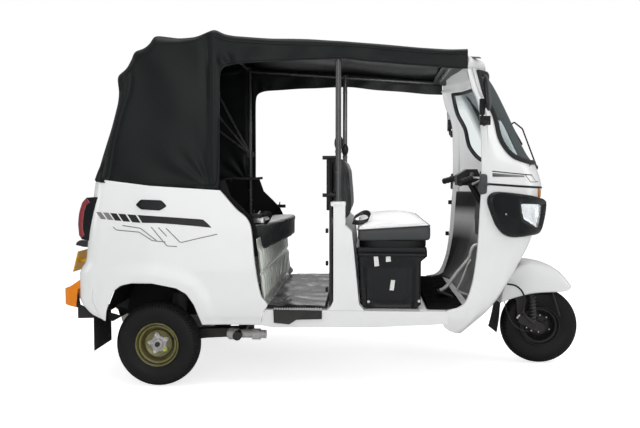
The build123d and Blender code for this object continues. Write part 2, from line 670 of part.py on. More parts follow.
# ---------------------------------------------------------------- wheels
def tyre(label, x, y):
    """Tyre of a wheel centred at x, y, wide side walls and a flat crown."""
    with BuildPart() as ring:
        with BuildSketch(Plane.XY):
            with BuildLine():
                Polyline((BEAD_R, -44), (BEAD_R + 14, -49))
                ThreePointArc((BEAD_R + 14, -49), (155, -TYRE_HALF), (192, -50))
                ThreePointArc((192, -50), (TYRE_R, 0), (192, 50))
                ThreePointArc((192, 50), (155, TYRE_HALF), (BEAD_R + 14, 49))
                Polyline((BEAD_R + 14, 49), (BEAD_R, 44), (BEAD_R, -44))
            make_face()
        revolve(axis=Axis.Y)
    finish(ring.part.moved(Location((x, y, AXLE_Z))), label)


def rim(label, x, y, out, bore):
    """Pressed rim of a wheel centred at x, y, its dish and hub star on the side given by out."""
    section = [(bore, 26), (24, 26), (26, 22), (34, 20), (64, 20), (70, 10), (86.5, 10), (86.5, 24),
               (97, 31.5), (97, 47), (RIM_R, 51), (RIM_R, 47.7), (BEAD_R - 0.3, 44.5),
               (BEAD_R - 0.3, 30), (90, 22), (90, -22), (BEAD_R - 0.3, -30),
               (BEAD_R - 0.3, -44.5), (RIM_R, -47.7), (RIM_R, -51), (97, -47), (97, -31.5),
               (86.5, -24), (86.5, 6), (68, 6), (62, 16), (30, 16), (26, -30), (bore, -30)]
    with BuildPart() as disc:
        with BuildSketch(Plane.XY):
            with BuildLine():
                Polyline(*[(r, out * w) for r, w in section], close=True)
            make_face()
        revolve(axis=Axis.Y)
        with BuildSketch(Plane.XZ.offset(-out * 19)):
            with PolarLocations(38, 5, start_angle=90):
                Circle(15)
            Circle(34)
            Circle(bore, mode=Mode.SUBTRACT)
        extrude(amount=-out * 6)
    finish(disc.part.moved(Location((x, y, AXLE_Z))), label)


SHAFT_PLAY = 0.05
PIN_R = 10.0
for name, side in (("right", -1), ("left", 1)):
    tyre(f"rear_tyre_{name}", REAR_X, side * REAR_Y)
    rim(f"rear_rim_{name}", REAR_X, side * REAR_Y, side, SHAFT_R + SHAFT_PLAY)
tyre("front_tyre", FRONT_X, 0)
rim("front_rim", FRONT_X, 0, -1, PIN_R + SHAFT_PLAY)

# ---------------------------------------------------------------- steering
LEG_IN = 70.0
LEG_OUT = 84.0
with BuildPart() as front_fork:
    add(rod(on_axis(1012), on_axis(540), STEM_R))
    add(block(990, 1050, -LEG_OUT, LEG_OUT, 515, 545))
    leg = [(992, 545), (1050, 545), (1050, 500), (1035, 360), (1040, 252), (1000, 252), (990, 360),
           (988, 500)]
    add(side_slab(leg, LEG_IN, LEG_OUT))
    link = [(1002, 236), (1002, 270), (1030, 280), (1128, 232), (1150, 209), (1128, 186),
            (1100, 190)]
    add(side_slab(link, LEG_OUT, LEG_OUT + 10))
    add(rod((FRONT_X, -LEG_OUT - 12, AXLE_Z), (FRONT_X, LEG_OUT + 12, AXLE_Z), PIN_R))
    for side in (-1, 1):
        add(rod((FRONT_X, side * 37, AXLE_Z), (FRONT_X, side * LEG_OUT, AXLE_Z), 16))
finish(front_fork.part, "front_fork")

with BuildPart() as front_shocks:
    for side in (-1, 1):
        y = side * 79
        add(rod((1097, y, 225), (1050, y, 512), 8))
        add(rod((1090, y, 268), (1056, y, 475), 16))
    add(rod((FRONT_X, -120, AXLE_Z), (FRONT_X, 120, AXLE_Z), PIN_R), mode=Mode.SUBTRACT)
finish(front_shocks.part, "front_shocks")

GUARD = [(909, 344), (922, 430), (955, 520), (1000, 572), (1043, 576), (1086, 565), (1158, 526),
         (1224, 471), (1287, 417), (1262, 399), (1197, 395), (1082, 389), (1046, 378), (938, 340)]
GUARD_HALF = 100.0
GUARD_T = 4.0
with BuildPart() as guard_inside:
    with BuildSketch(Plane.XZ):
        with BuildLine():
            Polyline((913, 300), (926, 429), (958, 517), (1002, 567), (1042, 571), (1084, 560),
                     (1155, 522), (1221, 467), (1278, 415), (1262, 300), close=True)
        make_face()
    extrude(amount=GUARD_HALF - GUARD_T, both=True)
with BuildPart() as front_mudguard:
    add(prism(GUARD, GUARD_HALF))
    add(guard_inside.part, mode=Mode.SUBTRACT)
    add(rod(on_axis(640), on_axis(500), STEM_R + SHAFT_PLAY), mode=Mode.SUBTRACT)
finish(front_mudguard.part, "front_mudguard")

with BuildPart() as front_mud_flap:
    add(block(905, 909, -85, 85, 160, 352))
finish(front_mud_flap.part, "front_mud_flap")

BAR = [(640, -385, 1003), (702, -320, 1022), (742, -110, 1046), (742, 110, 1046), (702, 320, 1022),
       (640, 385, 1003)]
NACELLE = [(668, 985), (664, 1040), (718, 1074), (775, 1074), (790, 1040), (780, 985)]
with BuildPart() as handlebar:
    with BuildLine() as bar_path:
        FilletPolyline(*BAR, radius=45)
    with BuildSketch(Plane(bar_path.line @ 0, z_dir=bar_path.line % 0)):
        Circle(11)
    sweep()
    for end, inner in ((BAR[0], BAR[1]), (BAR[-1], BAR[-2])):
        add(rod(end, inner, 17))
    add(prism(NACELLE, 62))
    add(rod(on_axis(1013), on_axis(500), STEM_R + SHAFT_PLAY), mode=Mode.SUBTRACT)
finish(handlebar.part, "handlebar")
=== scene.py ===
"""Auto rickshaw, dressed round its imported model: camera and light first, then the vehicle from the
white shells inwards. Metres, +X forward, +Y to the vehicle's left, +Z up, the ground at zero."""
from math import cos, pi, radians, sin

import bmesh
import bpy
import numpy as np
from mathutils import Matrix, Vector
from mathutils.bvhtree import BVHTree


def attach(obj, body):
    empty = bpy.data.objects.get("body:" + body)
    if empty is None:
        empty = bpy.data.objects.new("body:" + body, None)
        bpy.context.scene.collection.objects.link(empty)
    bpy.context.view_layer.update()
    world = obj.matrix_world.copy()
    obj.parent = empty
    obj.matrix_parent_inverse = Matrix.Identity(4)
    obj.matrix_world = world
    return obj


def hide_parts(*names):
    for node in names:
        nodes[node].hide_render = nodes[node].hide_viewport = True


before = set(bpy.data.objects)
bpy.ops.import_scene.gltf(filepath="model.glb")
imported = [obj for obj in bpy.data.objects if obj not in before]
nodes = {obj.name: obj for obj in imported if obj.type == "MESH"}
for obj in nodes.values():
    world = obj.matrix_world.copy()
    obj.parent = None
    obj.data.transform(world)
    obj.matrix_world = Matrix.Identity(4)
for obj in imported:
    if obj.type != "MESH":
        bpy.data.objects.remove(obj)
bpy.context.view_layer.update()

# ---- camera, floor and light
# The vehicle stands on a white studio floor under broad soft boxes, seen from its right side at
# about the height of a seated passenger's shoulder.
EYE = (0.1666, -4.1671, 1.0549)
EYE_TURN, EYE_DIP = 3.54, 3.19          # degrees towards the tail, degrees below the horizon
LENS = 41.69



def placed(name, data):
    """New object of a mesh, lamp or camera, put in the scene."""
    made = bpy.data.objects.new(name, data)
    bpy.context.scene.collection.objects.link(made)
    return made


camera = placed("camera", bpy.data.cameras.new("camera"))
camera.data.lens = LENS
camera.data.sensor_width = 36.0
camera.data.clip_end = 200.0
camera.location = EYE
camera.rotation_euler = (radians(90 - EYE_DIP), 0, radians(EYE_TURN))
bpy.context.scene.camera = camera
bpy.context.scene.view_settings.view_transform = "Standard"


def wire(tree, *pairs):
    """Joins (output socket, input socket) pairs of a node tree."""
    for source, target in pairs:
        tree.links.new(source, target)


def seen_directly(tree):
    """Value that is 1 where the camera looks, through glass or not, and 0 where light is gathered."""
    path = tree.nodes.new("ShaderNodeLightPath")
    total = tree.nodes.new("ShaderNodeMath")
    total.operation = "MAXIMUM"
    wire(tree, (path.outputs["Is Camera Ray"], total.inputs[0]),
        (path.outputs["Is Transmission Ray"], total.inputs[1]))
    return total.outputs[0]


world = bpy.data.worlds.new("studio")
bpy.context.scene.world = world
world.use_nodes = True
sky = world.node_tree
background = sky.nodes["Background"]
background.inputs["Color"].default_value = (1.0, 1.0, 1.0, 1.0)
strength = sky.nodes.new("ShaderNodeMapRange")
strength.inputs["To Min"].default_value = 0.4
strength.inputs["To Max"].default_value = 1.0
wire(sky, (seen_directly(sky), strength.inputs["Value"]), (strength.outputs["Result"],
    background.inputs["Strength"]))

FLOOR_HALF = 40.0
floor_mesh = bpy.data.meshes.new("studio_floor")
floor_mesh.from_pydata([(-FLOOR_HALF, -FLOOR_HALF, 0), (FLOOR_HALF, -FLOOR_HALF, 0),
    (FLOOR_HALF, FLOOR_HALF, 0), (-FLOOR_HALF, FLOOR_HALF, 0)], [], [(0, 1, 2, 3)])
floor_paint = bpy.data.materials.new("studio_floor")
floor_paint.use_nodes = True
tree = floor_paint.node_tree
tree.nodes.clear()
matt = tree.nodes.new("ShaderNodeBsdfDiffuse")
matt.inputs["Color"].default_value = (0.8, 0.8, 0.8, 1)
glow = tree.nodes.new("ShaderNodeEmission")
lift = tree.nodes.new("ShaderNodeMath")
lift.operation = "MULTIPLY"
lift.inputs[1].default_value = 0.72
added = tree.nodes.new("ShaderNodeAddShader")
end = tree.nodes.new("ShaderNodeOutputMaterial")
wire(tree, (seen_directly(tree), lift.inputs[0]), (lift.outputs[0], glow.inputs["Strength"]),
    (matt.outputs[0], added.inputs[0]), (glow.outputs[0], added.inputs[1]),
    (added.outputs[0], end.inputs["Surface"]))
floor_mesh.materials.append(floor_paint)
placed("studio_floor", floor_mesh)

# soft boxes: name, place, aimed at, size, watts
SOFT_BOXES = [("overhead", (0.2, -0.6, 4.2), (0.0, 0.0, 0.8), (4.5, 3.2), 116),
    ("near_side", (0.2, -5.2, 1.7), (0.15, 0.0, 0.9), (5.0, 3.0), 78),
    ("front", (4.6, -1.2, 1.9), (0.8, 0.0, 0.9), (1.6, 2.4), 36),
    ("tail", (-4.4, -1.6, 2.2), (-0.9, 0.0, 0.9), (1.4, 2.4), 22),
    ("cabin", (0.35, -0.15, 1.5), (0.62, 0.25, 0.8), (0.5, 0.6), 5.5),
    ("far_side", (-0.4, 4.6, 2.8), (0.0, 0.0, 0.8), (3.6, 2.2), 40),]
for name, place, aim, size, watts in SOFT_BOXES:
    lamp = bpy.data.lights.new(name, "AREA")
    lamp.shape, lamp.size, lamp.size_y, lamp.energy = "RECTANGLE", size[0], size[1], watts
    holder = placed(name, lamp)
    holder.location = place
    holder.rotation_euler = (Vector(aim) - Vector(place)).to_track_quat("-Z", "Y").to_euler()

# ---- white rear tub
# One pressed and welded steel tub behind the passengers' doorway, painted white, with a rolled lip
# round each wheel arch and a folded edge at the doorway. Its sides pull in towards the hood.
MM = 0.001


def feed(tree, target, value):
    """Links an output to a socket, or sets the socket's value."""
    if isinstance(value, bpy.types.NodeSocket):
        tree.links.new(value, target)
    else:
        target.default_value = value


def node(tree, kind, settings=(), **inputs):
    """New shader node of a tree: settings are its own properties, inputs its sockets by name, with _
    for a space, given a value or another node's output."""
    new = tree.nodes.new("ShaderNode" + kind)
    for key, value in dict(settings).items():
        setattr(new, key, value)
    for socket, value in inputs.items():
        feed(tree, new.inputs[socket.replace("_", " ")], value)
    return new


def outlet(*given, **inputs):
    """First output of a new node."""
    return node(*given, **inputs).outputs[0]


def calc(tree, operation, *values, clamp=False):
    """Output of a Math node, its values given in order."""
    new = node(tree, "Math", {"operation": operation, "use_clamp": clamp})
    for target, value in zip(new.inputs, values):
        feed(tree, target, value)
    return new.outputs[0]


def place_in(tree, axis=None):
    """The object's own coordinates, or one of them."""
    place = node(tree, "TexCoord").outputs["Object"]
    return node(tree, "SeparateXYZ", Vector=place).outputs[axis] if axis else place


def ramp(tree, value, start, stop, low=0.0, high=1.0):
    """Value carried from start..stop to low..high, and held beyond them."""
    return outlet(tree, "MapRange", Value=value, From_Min=start, From_Max=stop, To_Min=low, To_Max=high)


def bumped(tree, height, distance, **more):
    """Bump of a height that is given in parts of a distance."""
    return outlet(tree, "Bump", Height=height, Distance=distance, **more)


def effect(name, sockets, output):
    """Empty node group with float inputs {name: default} and one float output, its end nodes added."""
    group = bpy.data.node_groups.new(name, "ShaderNodeTree")
    for socket, default in sockets.items():
        made = group.interface.new_socket(socket, in_out="INPUT", socket_type="NodeSocketFloat")
        made.default_value = default
    group.interface.new_socket(output, in_out="OUTPUT", socket_type="NodeSocketFloat")
    given = group.nodes.new("NodeGroupInput").outputs
    return group, given, group.nodes.new("NodeGroupOutput").inputs[output]


# soft cloudy patches: noise stretched between two levels
PATCHES, given, result = effect("patches", {"Scale": 4.0, "Low": 0.4, "High": 0.65}, "Mask")
cloud = outlet(PATCHES, "TexNoise", Vector=place_in(PATCHES), Scale=given["Scale"], Detail=5.0,
    Roughness=0.62)
feed(PATCHES, result, ramp(PATCHES, cloud, given["Low"], given["High"]))

# moulded or embossed grain: rounded cells over a finer noise
GRAIN, given, result = effect("grain", {"Scale": 600.0}, "Height")
place = place_in(GRAIN)
cells = node(GRAIN, "TexVoronoi", {"feature": "SMOOTH_F1"}, Vector=place, Scale=given["Scale"],
    Smoothness=0.6)
fine = outlet(GRAIN, "TexNoise", Vector=place, Scale=given["Scale"], Detail=2.0)
feed(GRAIN, result, calc(GRAIN, "MULTIPLY_ADD", fine, 0.5, cells.outputs["Distance"]))

# road dust: more of it low down, and on what faces up
DUST, given, result = effect("road_dust", {"Amount": 0.5, "Top": 0.45}, "Mask")
facing = node(DUST, "SeparateXYZ", Vector=node(DUST, "NewGeometry").outputs["Normal"]).outputs["Z"]
cloud = outlet(DUST, "TexNoise", Vector=place_in(DUST), Scale=9.0, Detail=6.0, Roughness=0.7)
settled = calc(DUST, "ADD", ramp(DUST, place_in(DUST, "Z"), given["Top"], 0.02),
    ramp(DUST, facing, 0.1, 1.2, high=0.6))
feed(DUST, result, calc(DUST, "MULTIPLY", calc(DUST, "MULTIPLY", settled, cloud), given["Amount"],
    clamp=True))


def used(tree, group, **values):
    """One use of an effect in a material, with its own values."""
    return outlet(tree, "Group", {"node_tree": group}, **values)


def blend_colour(tree, mask, first, second):
    """Colour that goes from first to second with the mask."""
    mix = node(tree, "Mix", {"data_type": "RGBA"})
    feed(tree, mix.inputs[0], mask)
    for socket, value in ((6, first), (7, second)):
        feed(tree, mix.inputs[socket], value if isinstance(value, bpy.types.NodeSocket) else (*value, 1))
    return mix.outputs[2]


def new_material(name):
    """Empty material, and its node tree."""
    material = bpy.data.materials.new(name)
    material.use_nodes = True
    return material, material.node_tree


def shade(tree, **inputs):
    """Feeds the shader's own sockets by name, with _ for a space."""
    for socket, value in inputs.items():
        feed(tree, tree.nodes["Principled BSDF"].inputs[socket.replace("_", " ")], value)


def finish_of(name, colour, rough, second=None, patch=4.0, grain=None, depth=0.1, dust=0.0,
        dust_colour=(0.3, 0.27, 0.23), rough_to=None, shine=0.5, **fixed):
    """Material of one finish. Its colour drifts to second in soft patches, its roughness to rough_to,
    grain sets the scale of its embossing and depth how deep that is in millimetres, dust how much
    road dust lies on it. fixed sets plain shader sockets by name, with _ for a space."""
    material, tree = new_material(name)
    mask = used(tree, PATCHES, Scale=patch)
    top = blend_colour(tree, mask, colour, [0.88 * c for c in colour] if second is None else second)
    if dust:
        top = blend_colour(tree, used(tree, DUST, Amount=dust), top, dust_colour)
    varied = ramp(tree, mask, 0.0, 1.0, rough, rough_to or min(1, rough * 1.25))
    shade(tree, Base_Color=top, Roughness=varied, Specular_IOR_Level=shine, **fixed)
    if grain:
        shade(tree, Normal=bumped(tree, used(tree, GRAIN, Scale=grain), depth * MM))
    return material


# glossy stoved enamel: a clear coat over white, with an orange-peel of 8 mm that shows in reflections
WHITE = np.array([0.8, 0.81, 0.81])
white_enamel = finish_of("white_enamel", WHITE, 0.32, second=0.975 * WHITE, patch=2.0, dust=0.35,
    shine=0.45, Coat_Weight=0.6, Coat_Roughness=0.06)
tree = white_enamel.node_tree
peel = outlet(tree, "TexNoise", Vector=place_in(tree), Scale=120.0, Detail=1.0)
shade(tree, Normal=bumped(tree, peel, 0.00004))


def held(value):
    """Value held between 0 and 1."""
    return np.clip(value, 0, 1)


def bell(away, width):
    """Bell curve, exp(-(away / width) squared): 1 in the middle."""
    return np.exp(-(away / width) ** 2)


def eased(at, knots, values):
    """Smooth curve through (knots, values) read at at: cubic pieces, the slope at a knot being the
    harmonic mean of the slopes beside it, or zero where they differ in sign."""
    knots, values = np.asarray(knots, float), np.asarray(values, float)
    run = np.diff(knots)
    rise = np.diff(values) / run
    product = rise[:-1] * rise[1:]
    total = np.where(rise[:-1] + rise[1:] == 0, 1.0, rise[:-1] + rise[1:])
    slope = np.concatenate([rise[:1], np.where(product > 0, 2 * product / total, 0.0), rise[-1:]])
    i = np.clip(np.searchsorted(knots, at) - 1, 0, len(run) - 1)
    t = held((at - knots[i]) / run[i])
    return ((1 + 2 * t) * (1 - t) ** 2 * values[i] + t * (1 - t) ** 2 * run[i] * slope[i] + t ** 2
        * (3 - 2 * t) * values[i + 1] + t ** 2 * (t - 1) * run[i] * slope[i + 1])


def unit(vectors):
    """Vectors of length one."""
    return vectors / np.maximum(np.linalg.norm(vectors, axis=-1, keepdims=True), 1e-12)


def xyz(x, y, z):
    """Points of the three coordinates, spread to one shape."""
    return np.stack(np.broadcast_arrays(x, y, z), -1)


def circle(count):
    """Angles at even steps round a circle."""
    return np.linspace(0, 2 * pi, count, endpoint=False)


def faces_of(rows, columns, wrap_rows, wrap_columns, first):
    """Quads of a grid of points, numbered from first, joined round where it wraps."""
    i = np.arange(rows if wrap_rows else rows - 1)[:, None]
    j = np.arange(columns if wrap_columns else columns - 1)[None, :]
    below, beside = (i + 1) % rows, (j + 1) % columns
    corners = (i * columns + j, i * columns + beside, below * columns + beside, below * columns + j)
    return first + np.stack(np.broadcast_arrays(*corners), -1).reshape(-1, 4)


def values_of(items, key, width=1):
    """One property of all of a mesh's items, as an array with width columns."""
    found = np.empty(width * len(items))
    items.foreach_get(key, found)
    return found.reshape(-1, width) if width > 1 else found


def merged(mesh, distance, outwards=False):
    """Joins a mesh's points that lie within the distance, and turns its faces outwards if asked."""
    work = bmesh.new()
    work.from_mesh(mesh)
    bmesh.ops.remove_doubles(work, verts=work.verts, dist=distance)
    if outwards:
        bmesh.ops.dissolve_degenerate(work, edges=work.edges, dist=1e-6)
        bmesh.ops.recalc_face_normals(work, faces=work.faces)
    work.to_mesh(mesh)
    work.free()


def piece(name, patches, material, body="body", stands_for=None, away_from=None, crease=35.0,
        wall=0.0, offset=-1.0, mirrored=False):
    """Object made of grids of points. A patch is an array (rows, columns, 3), or that and the ways in
    which it closes, "rows", "columns" or "both". Points that meet are joined. An open sheet faces away
    from the point away_from, a closed one outwards; wall gives a sheet its thickness, inwards, and
    mirrored adds the other side of the vehicle. stands_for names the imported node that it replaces."""
    patches = [grid if isinstance(grid, tuple) else (grid, "") for grid in patches]
    if mirrored:
        patches += [(grid * (1, -1, 1), wraps) for grid, wraps in patches]
    vertices, faces, first = [], [], 0
    for grid, wraps in patches:
        rows, columns = grid.shape[:2]
        vertices.append(grid.reshape(-1, 3))
        faces.append(faces_of(rows, columns, wraps in ("rows", "both"), wraps in ("columns", "both"),
            first))
        first += rows * columns
    mesh = bpy.data.meshes.new(name)
    mesh.from_pydata(np.concatenate(vertices).tolist(), [], np.concatenate(faces).tolist())
    merged(mesh, 2e-5, outwards=True)
    if away_from is not None:
        outward = unit(values_of(mesh.polygons, "center", 3) - np.array(away_from))
        lean = (values_of(mesh.polygons, "normal", 3) * outward).sum(1)
        if (lean * values_of(mesh.polygons, "area")).sum() < 0:
            mesh.flip_normals()
    mesh.shade_smooth()
    mesh.set_sharp_from_angle(angle=radians(crease))
    mesh.materials.append(material)
    made = placed(name, mesh)
    if wall:
        solid = made.modifiers.new("wall", "SOLIDIFY")
        solid.thickness, solid.offset = wall, offset
    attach(made, body)
    if stands_for:
        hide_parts(stands_for)
    return made


def distance_to(line, x, z):
    """Distance of each point (x, z) from a line of points: the least over its straight runs."""
    a, b = line[:-1], line[1:]
    p = np.stack([x, z], -1)[..., None, :]
    t = np.clip(((p - a) * (b - a)).sum(-1) / ((b - a) ** 2).sum(-1), 0, 1)
    return np.sqrt(((p - a - t[..., None] * (b - a)) ** 2).sum(-1)).min(-1)


def mm(places):
    """Places given in millimetres, as an array in metres."""
    return np.asarray(places, float) * MM


# plan section of the tub at each height: height, rear face x, half width, radius of the rear corners
TUB = mm([(318, -1190, 640, 90), (375, -1225, 648, 90), (440, -1254, 651, 90), (555, -1254, 651, 90),
    (625, -1220, 649, 90), (760, -1208, 644, 90), (900, -1190, 628, 85), (1040, -1176, 602, 80)])
# doorway edge, wheel arch, top and bottom edges, as (x, z)
DOORWAY = mm([(-343, 316), (-322, 391), (-306, 415), (-336, 459), (-366, 615), (-386, 793), (-407, 836),
    (-457, 878), (-521, 949), (-542, 972)])
ARCH = mm([(-1106, 300), (-1094, 384), (-1056, 480), (-1019, 509), (-967, 519), (-865, 519), (-748, 497),
    (-698, 469), (-662, 418), (-616, 300)])
BELT = mm([(-1300, 1042), (-1145, 1023), (-887, 991), (-542, 970)])
FOOT = mm([(-1300, 470), (-1258, 420), (-1175, 361), (-1100, 330), (-1040, 318)])
ARCH_CROWN = 0.519                     # height of the arch's flat top
FLARE, FLARE_WIDTH = 0.009, 0.105      # how far the lip stands out, and how wide the swelling is
SILL_CREASE = 0.353


def tub_row(z):
    """Rear face, half width and corner radius of the tub at heights z."""
    return [eased(z, TUB[:, 0], TUB[:, k]) for k in (1, 2, 3)]


def tub_side(x, z):
    """Point of the tub's right side: its half width at z, swollen round the arch by a raised cosine of
    the distance to the arch's edge, and stepped in 5 mm under the sill crease."""
    rear, half, radius = tub_row(z)
    away = distance_to(ARCH, x, z)
    flare = FLARE * 0.5 * (1 + np.cos(pi * held((away - 0.03) / (FLARE_WIDTH - 0.03))))
    step = 0.005 * held((SILL_CREASE - z) / 0.006)
    front_only = held((x + 0.62) / 0.02)
    return xyz(x, -(half + flare - step * front_only), z)


def tub_corner(turn, z):
    """Point of the rounded rear corner, turn going from 0 at the side to 1 at the back."""
    rear, half, radius = tub_row(z)
    a = turn * pi / 2
    return xyz(rear + radius * (1 - np.sin(a)), -(half - radius * (1 - np.cos(a))), z)


def tub_back(y, z):
    """Point of the back."""
    return xyz(tub_row(z)[0], y, z)


def fill(rows, columns):
    """Grid of fractions up the rows and along the columns, from 0 to 1."""
    return np.meshgrid(np.linspace(0, 1, rows), np.linspace(0, 1, columns), indexing="ij")


def between(z_low, z_high, x_of, up, rounds=4):
    """Heights and x of a band between two edges that are functions of x, found by repeating:
    z = low(x) + up (high(x) - low(x)), x = x_of(z)."""
    z = np.full_like(up, 0.6)
    for _ in range(rounds):
        x = x_of(z)
        z = z_low(x) + up * (z_high(x) - z_low(x))
    return x_of(z), z


def door_x(z):
    """Edge of the doorway at heights z."""
    return eased(z, DOORWAY[:, 1], DOORWAY[:, 0])


def reader(line, by):
    """Function that reads a line of places (x, z): z at x where by is 0, x at z where it is 1."""
    return lambda at: np.interp(at, line[:, by], line[:, 1 - by])


def level(value):
    """Function with one value all along."""
    return lambda at: value + 0 * at


arch_front_x, arch_rear_x = reader(ARCH[:4:-1], 1), reader(ARCH[:5], 1)
LID_HALF, LID_LOW, LID_HIGH = 0.43, 0.505, 0.88
# bands of the tub from its foot to its belt: lower edge, upper edge, rows, whether the arch cuts it
TUB_BANDS = [(reader(FOOT, 0), level(LID_LOW), 24, True), (level(LID_LOW), level(ARCH_CROWN), 3, True),
    (level(ARCH_CROWN), level(LID_HIGH), 36, False), (level(LID_HIGH), reader(BELT, 0), 12, False)]


def tub_patches():
    """The tub's right half, band by band: doorway to arch, over the arch, arch to corner, round the
    corner, back beside the lid, and the back below and above the lid."""
    grids = []
    for band, (low, high, rows, cut) in enumerate(TUB_BANDS):
        front_x = arch_front_x if cut else level(ARCH[5, 0])
        rear_x = arch_rear_x if cut else level(ARCH[4, 0])
        spans = [(door_x, front_x, 44), (rear_x, lambda z: tub_row(z)[0] + tub_row(z)[2], 18)]
        if not cut:
            spans.insert(1, (front_x, rear_x, 14))
        for start, stop, columns in spans:
            up, along = fill(rows, columns)
            grids.append(tub_side(*between(low, high, lambda z: start(z) + along * (stop(z) - start(z)),
                up)))
        up, turn = fill(rows, 14)
        x, z = between(low, high, lambda z: tub_corner(turn, z)[..., 0], up)
        grids.append(tub_corner(turn, z))
        up, along = fill(rows, 10)
        x, z = between(low, high, lambda z: tub_row(z)[0], up)
        half, radius = tub_row(z)[1:]
        grids.append(tub_back(-(half - radius) + along * (half - radius - LID_HALF), z))
        if band in (0, 3):
            grids.append(tub_back(-LID_HALF * (1 - along), z))
    return grids


tub_sheet = tub_patches()
door_edge = np.concatenate([grid[:, 0] for grid in tub_sheet
    if abs(grid[0, 0, 0] - door_x(grid[0, 0, 2])) < 1e-4])
fold = np.stack([door_edge, door_edge + (0, 0.022, 0), door_edge + (-0.012, 0.024, 0)], 1)
piece("rear_tub_shell", tub_sheet + [fold], white_enamel, away_from=(-0.8, 0, 0.8),
    wall=0.003, mirrored=True, stands_for="rear_tub")
# ---- white front cowl, header and screen
# The cowl is one moulded shell from the doorways round the nose, open at the front for the wheel and
# cut out for the screen; a separate visor closes the roof's front edge. The laminated screen sits in
# a black rubber section in the cowl's opening.
# height, end of straight side x, side y, corner x, corner y, nose x, corner radius
COWL = mm([(272, 600, 578, 636, 540, 690, 30), (310, 640, 600, 686, 525, 752, 60),
    (370, 676, 618, 758, 508, 846, 100), (430, 690, 620, 811, 500, 884, 130),
    (500, 700, 618, 858, 492, 925, 150), (600, 706, 613, 912, 486, 982, 170),
    (700, 710, 612, 963, 480, 1036, 180), (860, 715, 610, 1008, 474, 1076, 190),
    (985, 718, 607, 1022, 470, 1090, 190), (1080, 718, 604, 996, 468, 1063, 190),
    (1150, 714, 602, 950, 464, 1015, 190), (1330, 700, 596, 868, 455, 920, 180),
    (1480, 668, 590, 792, 446, 848, 155), (1556, 650, 588, 744, 442, 794, 140),
    (1640, 640, 582, 704, 430, 752, 110)])
COWL_BACK = 0.52
NOSE = 5.0                             # section parameter on the middle plane
DOOR_FRONT = mm([(541, 315), (545, 391), (600, 402), (640, 430), (662, 475), (685, 563), (702, 700),
    (712, 880), (718, 985), (718, 1109), (711, 1309), (694, 1402), (667, 1462), (646, 1545)])
LOWER_EDGE = mm([(541, 315), (577, 286), (628, 272)])
GLASS_EDGE = mm([(964, 1106), (888, 1131), (846, 1166), (808, 1227), (784, 1323), (735, 1425), (704, 1540)])
NOSE_ARCH = mm([(300, 270), (300, 430), (275, 505), (215, 573), (150, 612)])
NOSE_ARCH_TOP = 0.625
SEAM_Z = 1.556


def turned_corner(before, corner, after, t):
    """Round corner as a conic from before to after: exact arc of a circle, with weight cos(turn/2)."""
    one, two = unit(corner - before), unit(after - corner)
    weight = np.sqrt(held((1 + (one * two).sum(-1)) / 2))[..., None]
    t = t[..., None]
    a, b, c = (1 - t) ** 2, 2 * weight * t * (1 - t), t ** 2
    return (a * before + b * corner + c * after) / (a + b + c)


def cowl_at(u, z):
    """Point of the cowl's right side at height z. The section parameter u runs 0 to 1 along the side,
    to 2 round the first corner, to 3 along the cheek, to 4 round the second, to 5 on the nose's arc."""
    u, z = np.broadcast_arrays(u, z)
    side_x, side_y, corner_x, corner_y, nose_x, radius = [eased(z, COWL[:, 0], COWL[:, k])
        for k in range(1, 7)]
    back = np.stack([COWL_BACK + 0 * z, side_y], -1)
    first, second = np.stack([side_x, side_y], -1), np.stack([corner_x, corner_y], -1)
    cheek = unit(second - first)
    trim = 0.3 * np.linalg.norm(second - first, axis=-1, keepdims=True)
    centre = (nose_x ** 2 - corner_x ** 2 - corner_y ** 2) / (2 * (nose_x - corner_x))
    reach = nose_x - centre
    phi = np.arctan2(corner_y, corner_x - centre)
    nose_way = np.stack([np.sin(phi), -np.cos(phi)], -1)
    half_turn = 0.5 * np.arccos(np.clip((cheek * nose_way).sum(-1), -1, 1))
    cut = np.minimum(radius * np.tan(half_turn), 0.6 * trim[..., 0] / 0.3)
    phi_end = phi - cut / reach
    side_end, cheek_start = first - trim * (1, 0), first + trim * cheek
    cheek_end = second - cut[..., None] * cheek
    nose_start = np.stack([centre + reach * np.cos(phi_end), reach * np.sin(phi_end)], -1)
    t = [held(u - k) for k in range(5)]
    swing = phi_end * (1 - t[4])
    on_nose = np.stack([centre + reach * np.cos(swing), reach * np.sin(swing)], -1)
    parts = [back + t[0][..., None] * (side_end - back), turned_corner(side_end, first, cheek_start, t[1]),
        cheek_start + t[2][..., None] * (cheek_end - cheek_start),
        turned_corner(cheek_end, second, nose_start, t[3]), on_nose]
    which = np.clip(u.astype(int), 0, 4)[..., None]
    flat = np.choose(which, parts)
    return xyz(flat[..., 0], -flat[..., 1], z)


def section_place(z, value, axis):
    """Section parameters at heights z where x (axis 0) or -y (axis 1) has the given values."""
    u = np.linspace(0, NOSE, 600)
    rows = cowl_at(u, z[:, None])
    if axis == 0:
        return np.array([np.interp(v, row[:, 0], u) for row, v in zip(rows, value)])
    return np.array([np.interp(-v, row[120:, 1], u[120:]) for row, v in zip(rows, value)])


def cowl_span(z, start, stop, columns):
    """Grid between two section parameters given at each height, its points evenly spaced."""
    u = start[:, None] + np.linspace(0, 1, 200) * (stop - start)[:, None]
    line = cowl_at(u, z[:, None])
    run = np.cumsum(np.linalg.norm(np.diff(line, axis=1, prepend=line[:, :1]), axis=-1), 1)
    even = [np.interp(np.linspace(0, r[-1], columns), r, row) for r, row in zip(run, u)]
    return cowl_at(np.array(even), z[:, None])


def door_front_x(z):
    """Edge of the driver's doorway, and below it of the cowl's foot, at heights z."""
    edge = eased(z, DOOR_FRONT[:, 1], DOOR_FRONT[:, 0])
    foot = np.interp(z, LOWER_EDGE[::-1, 1], LOWER_EDGE[::-1, 0])
    return np.where(z < LOWER_EDGE[0, 1], foot, edge)


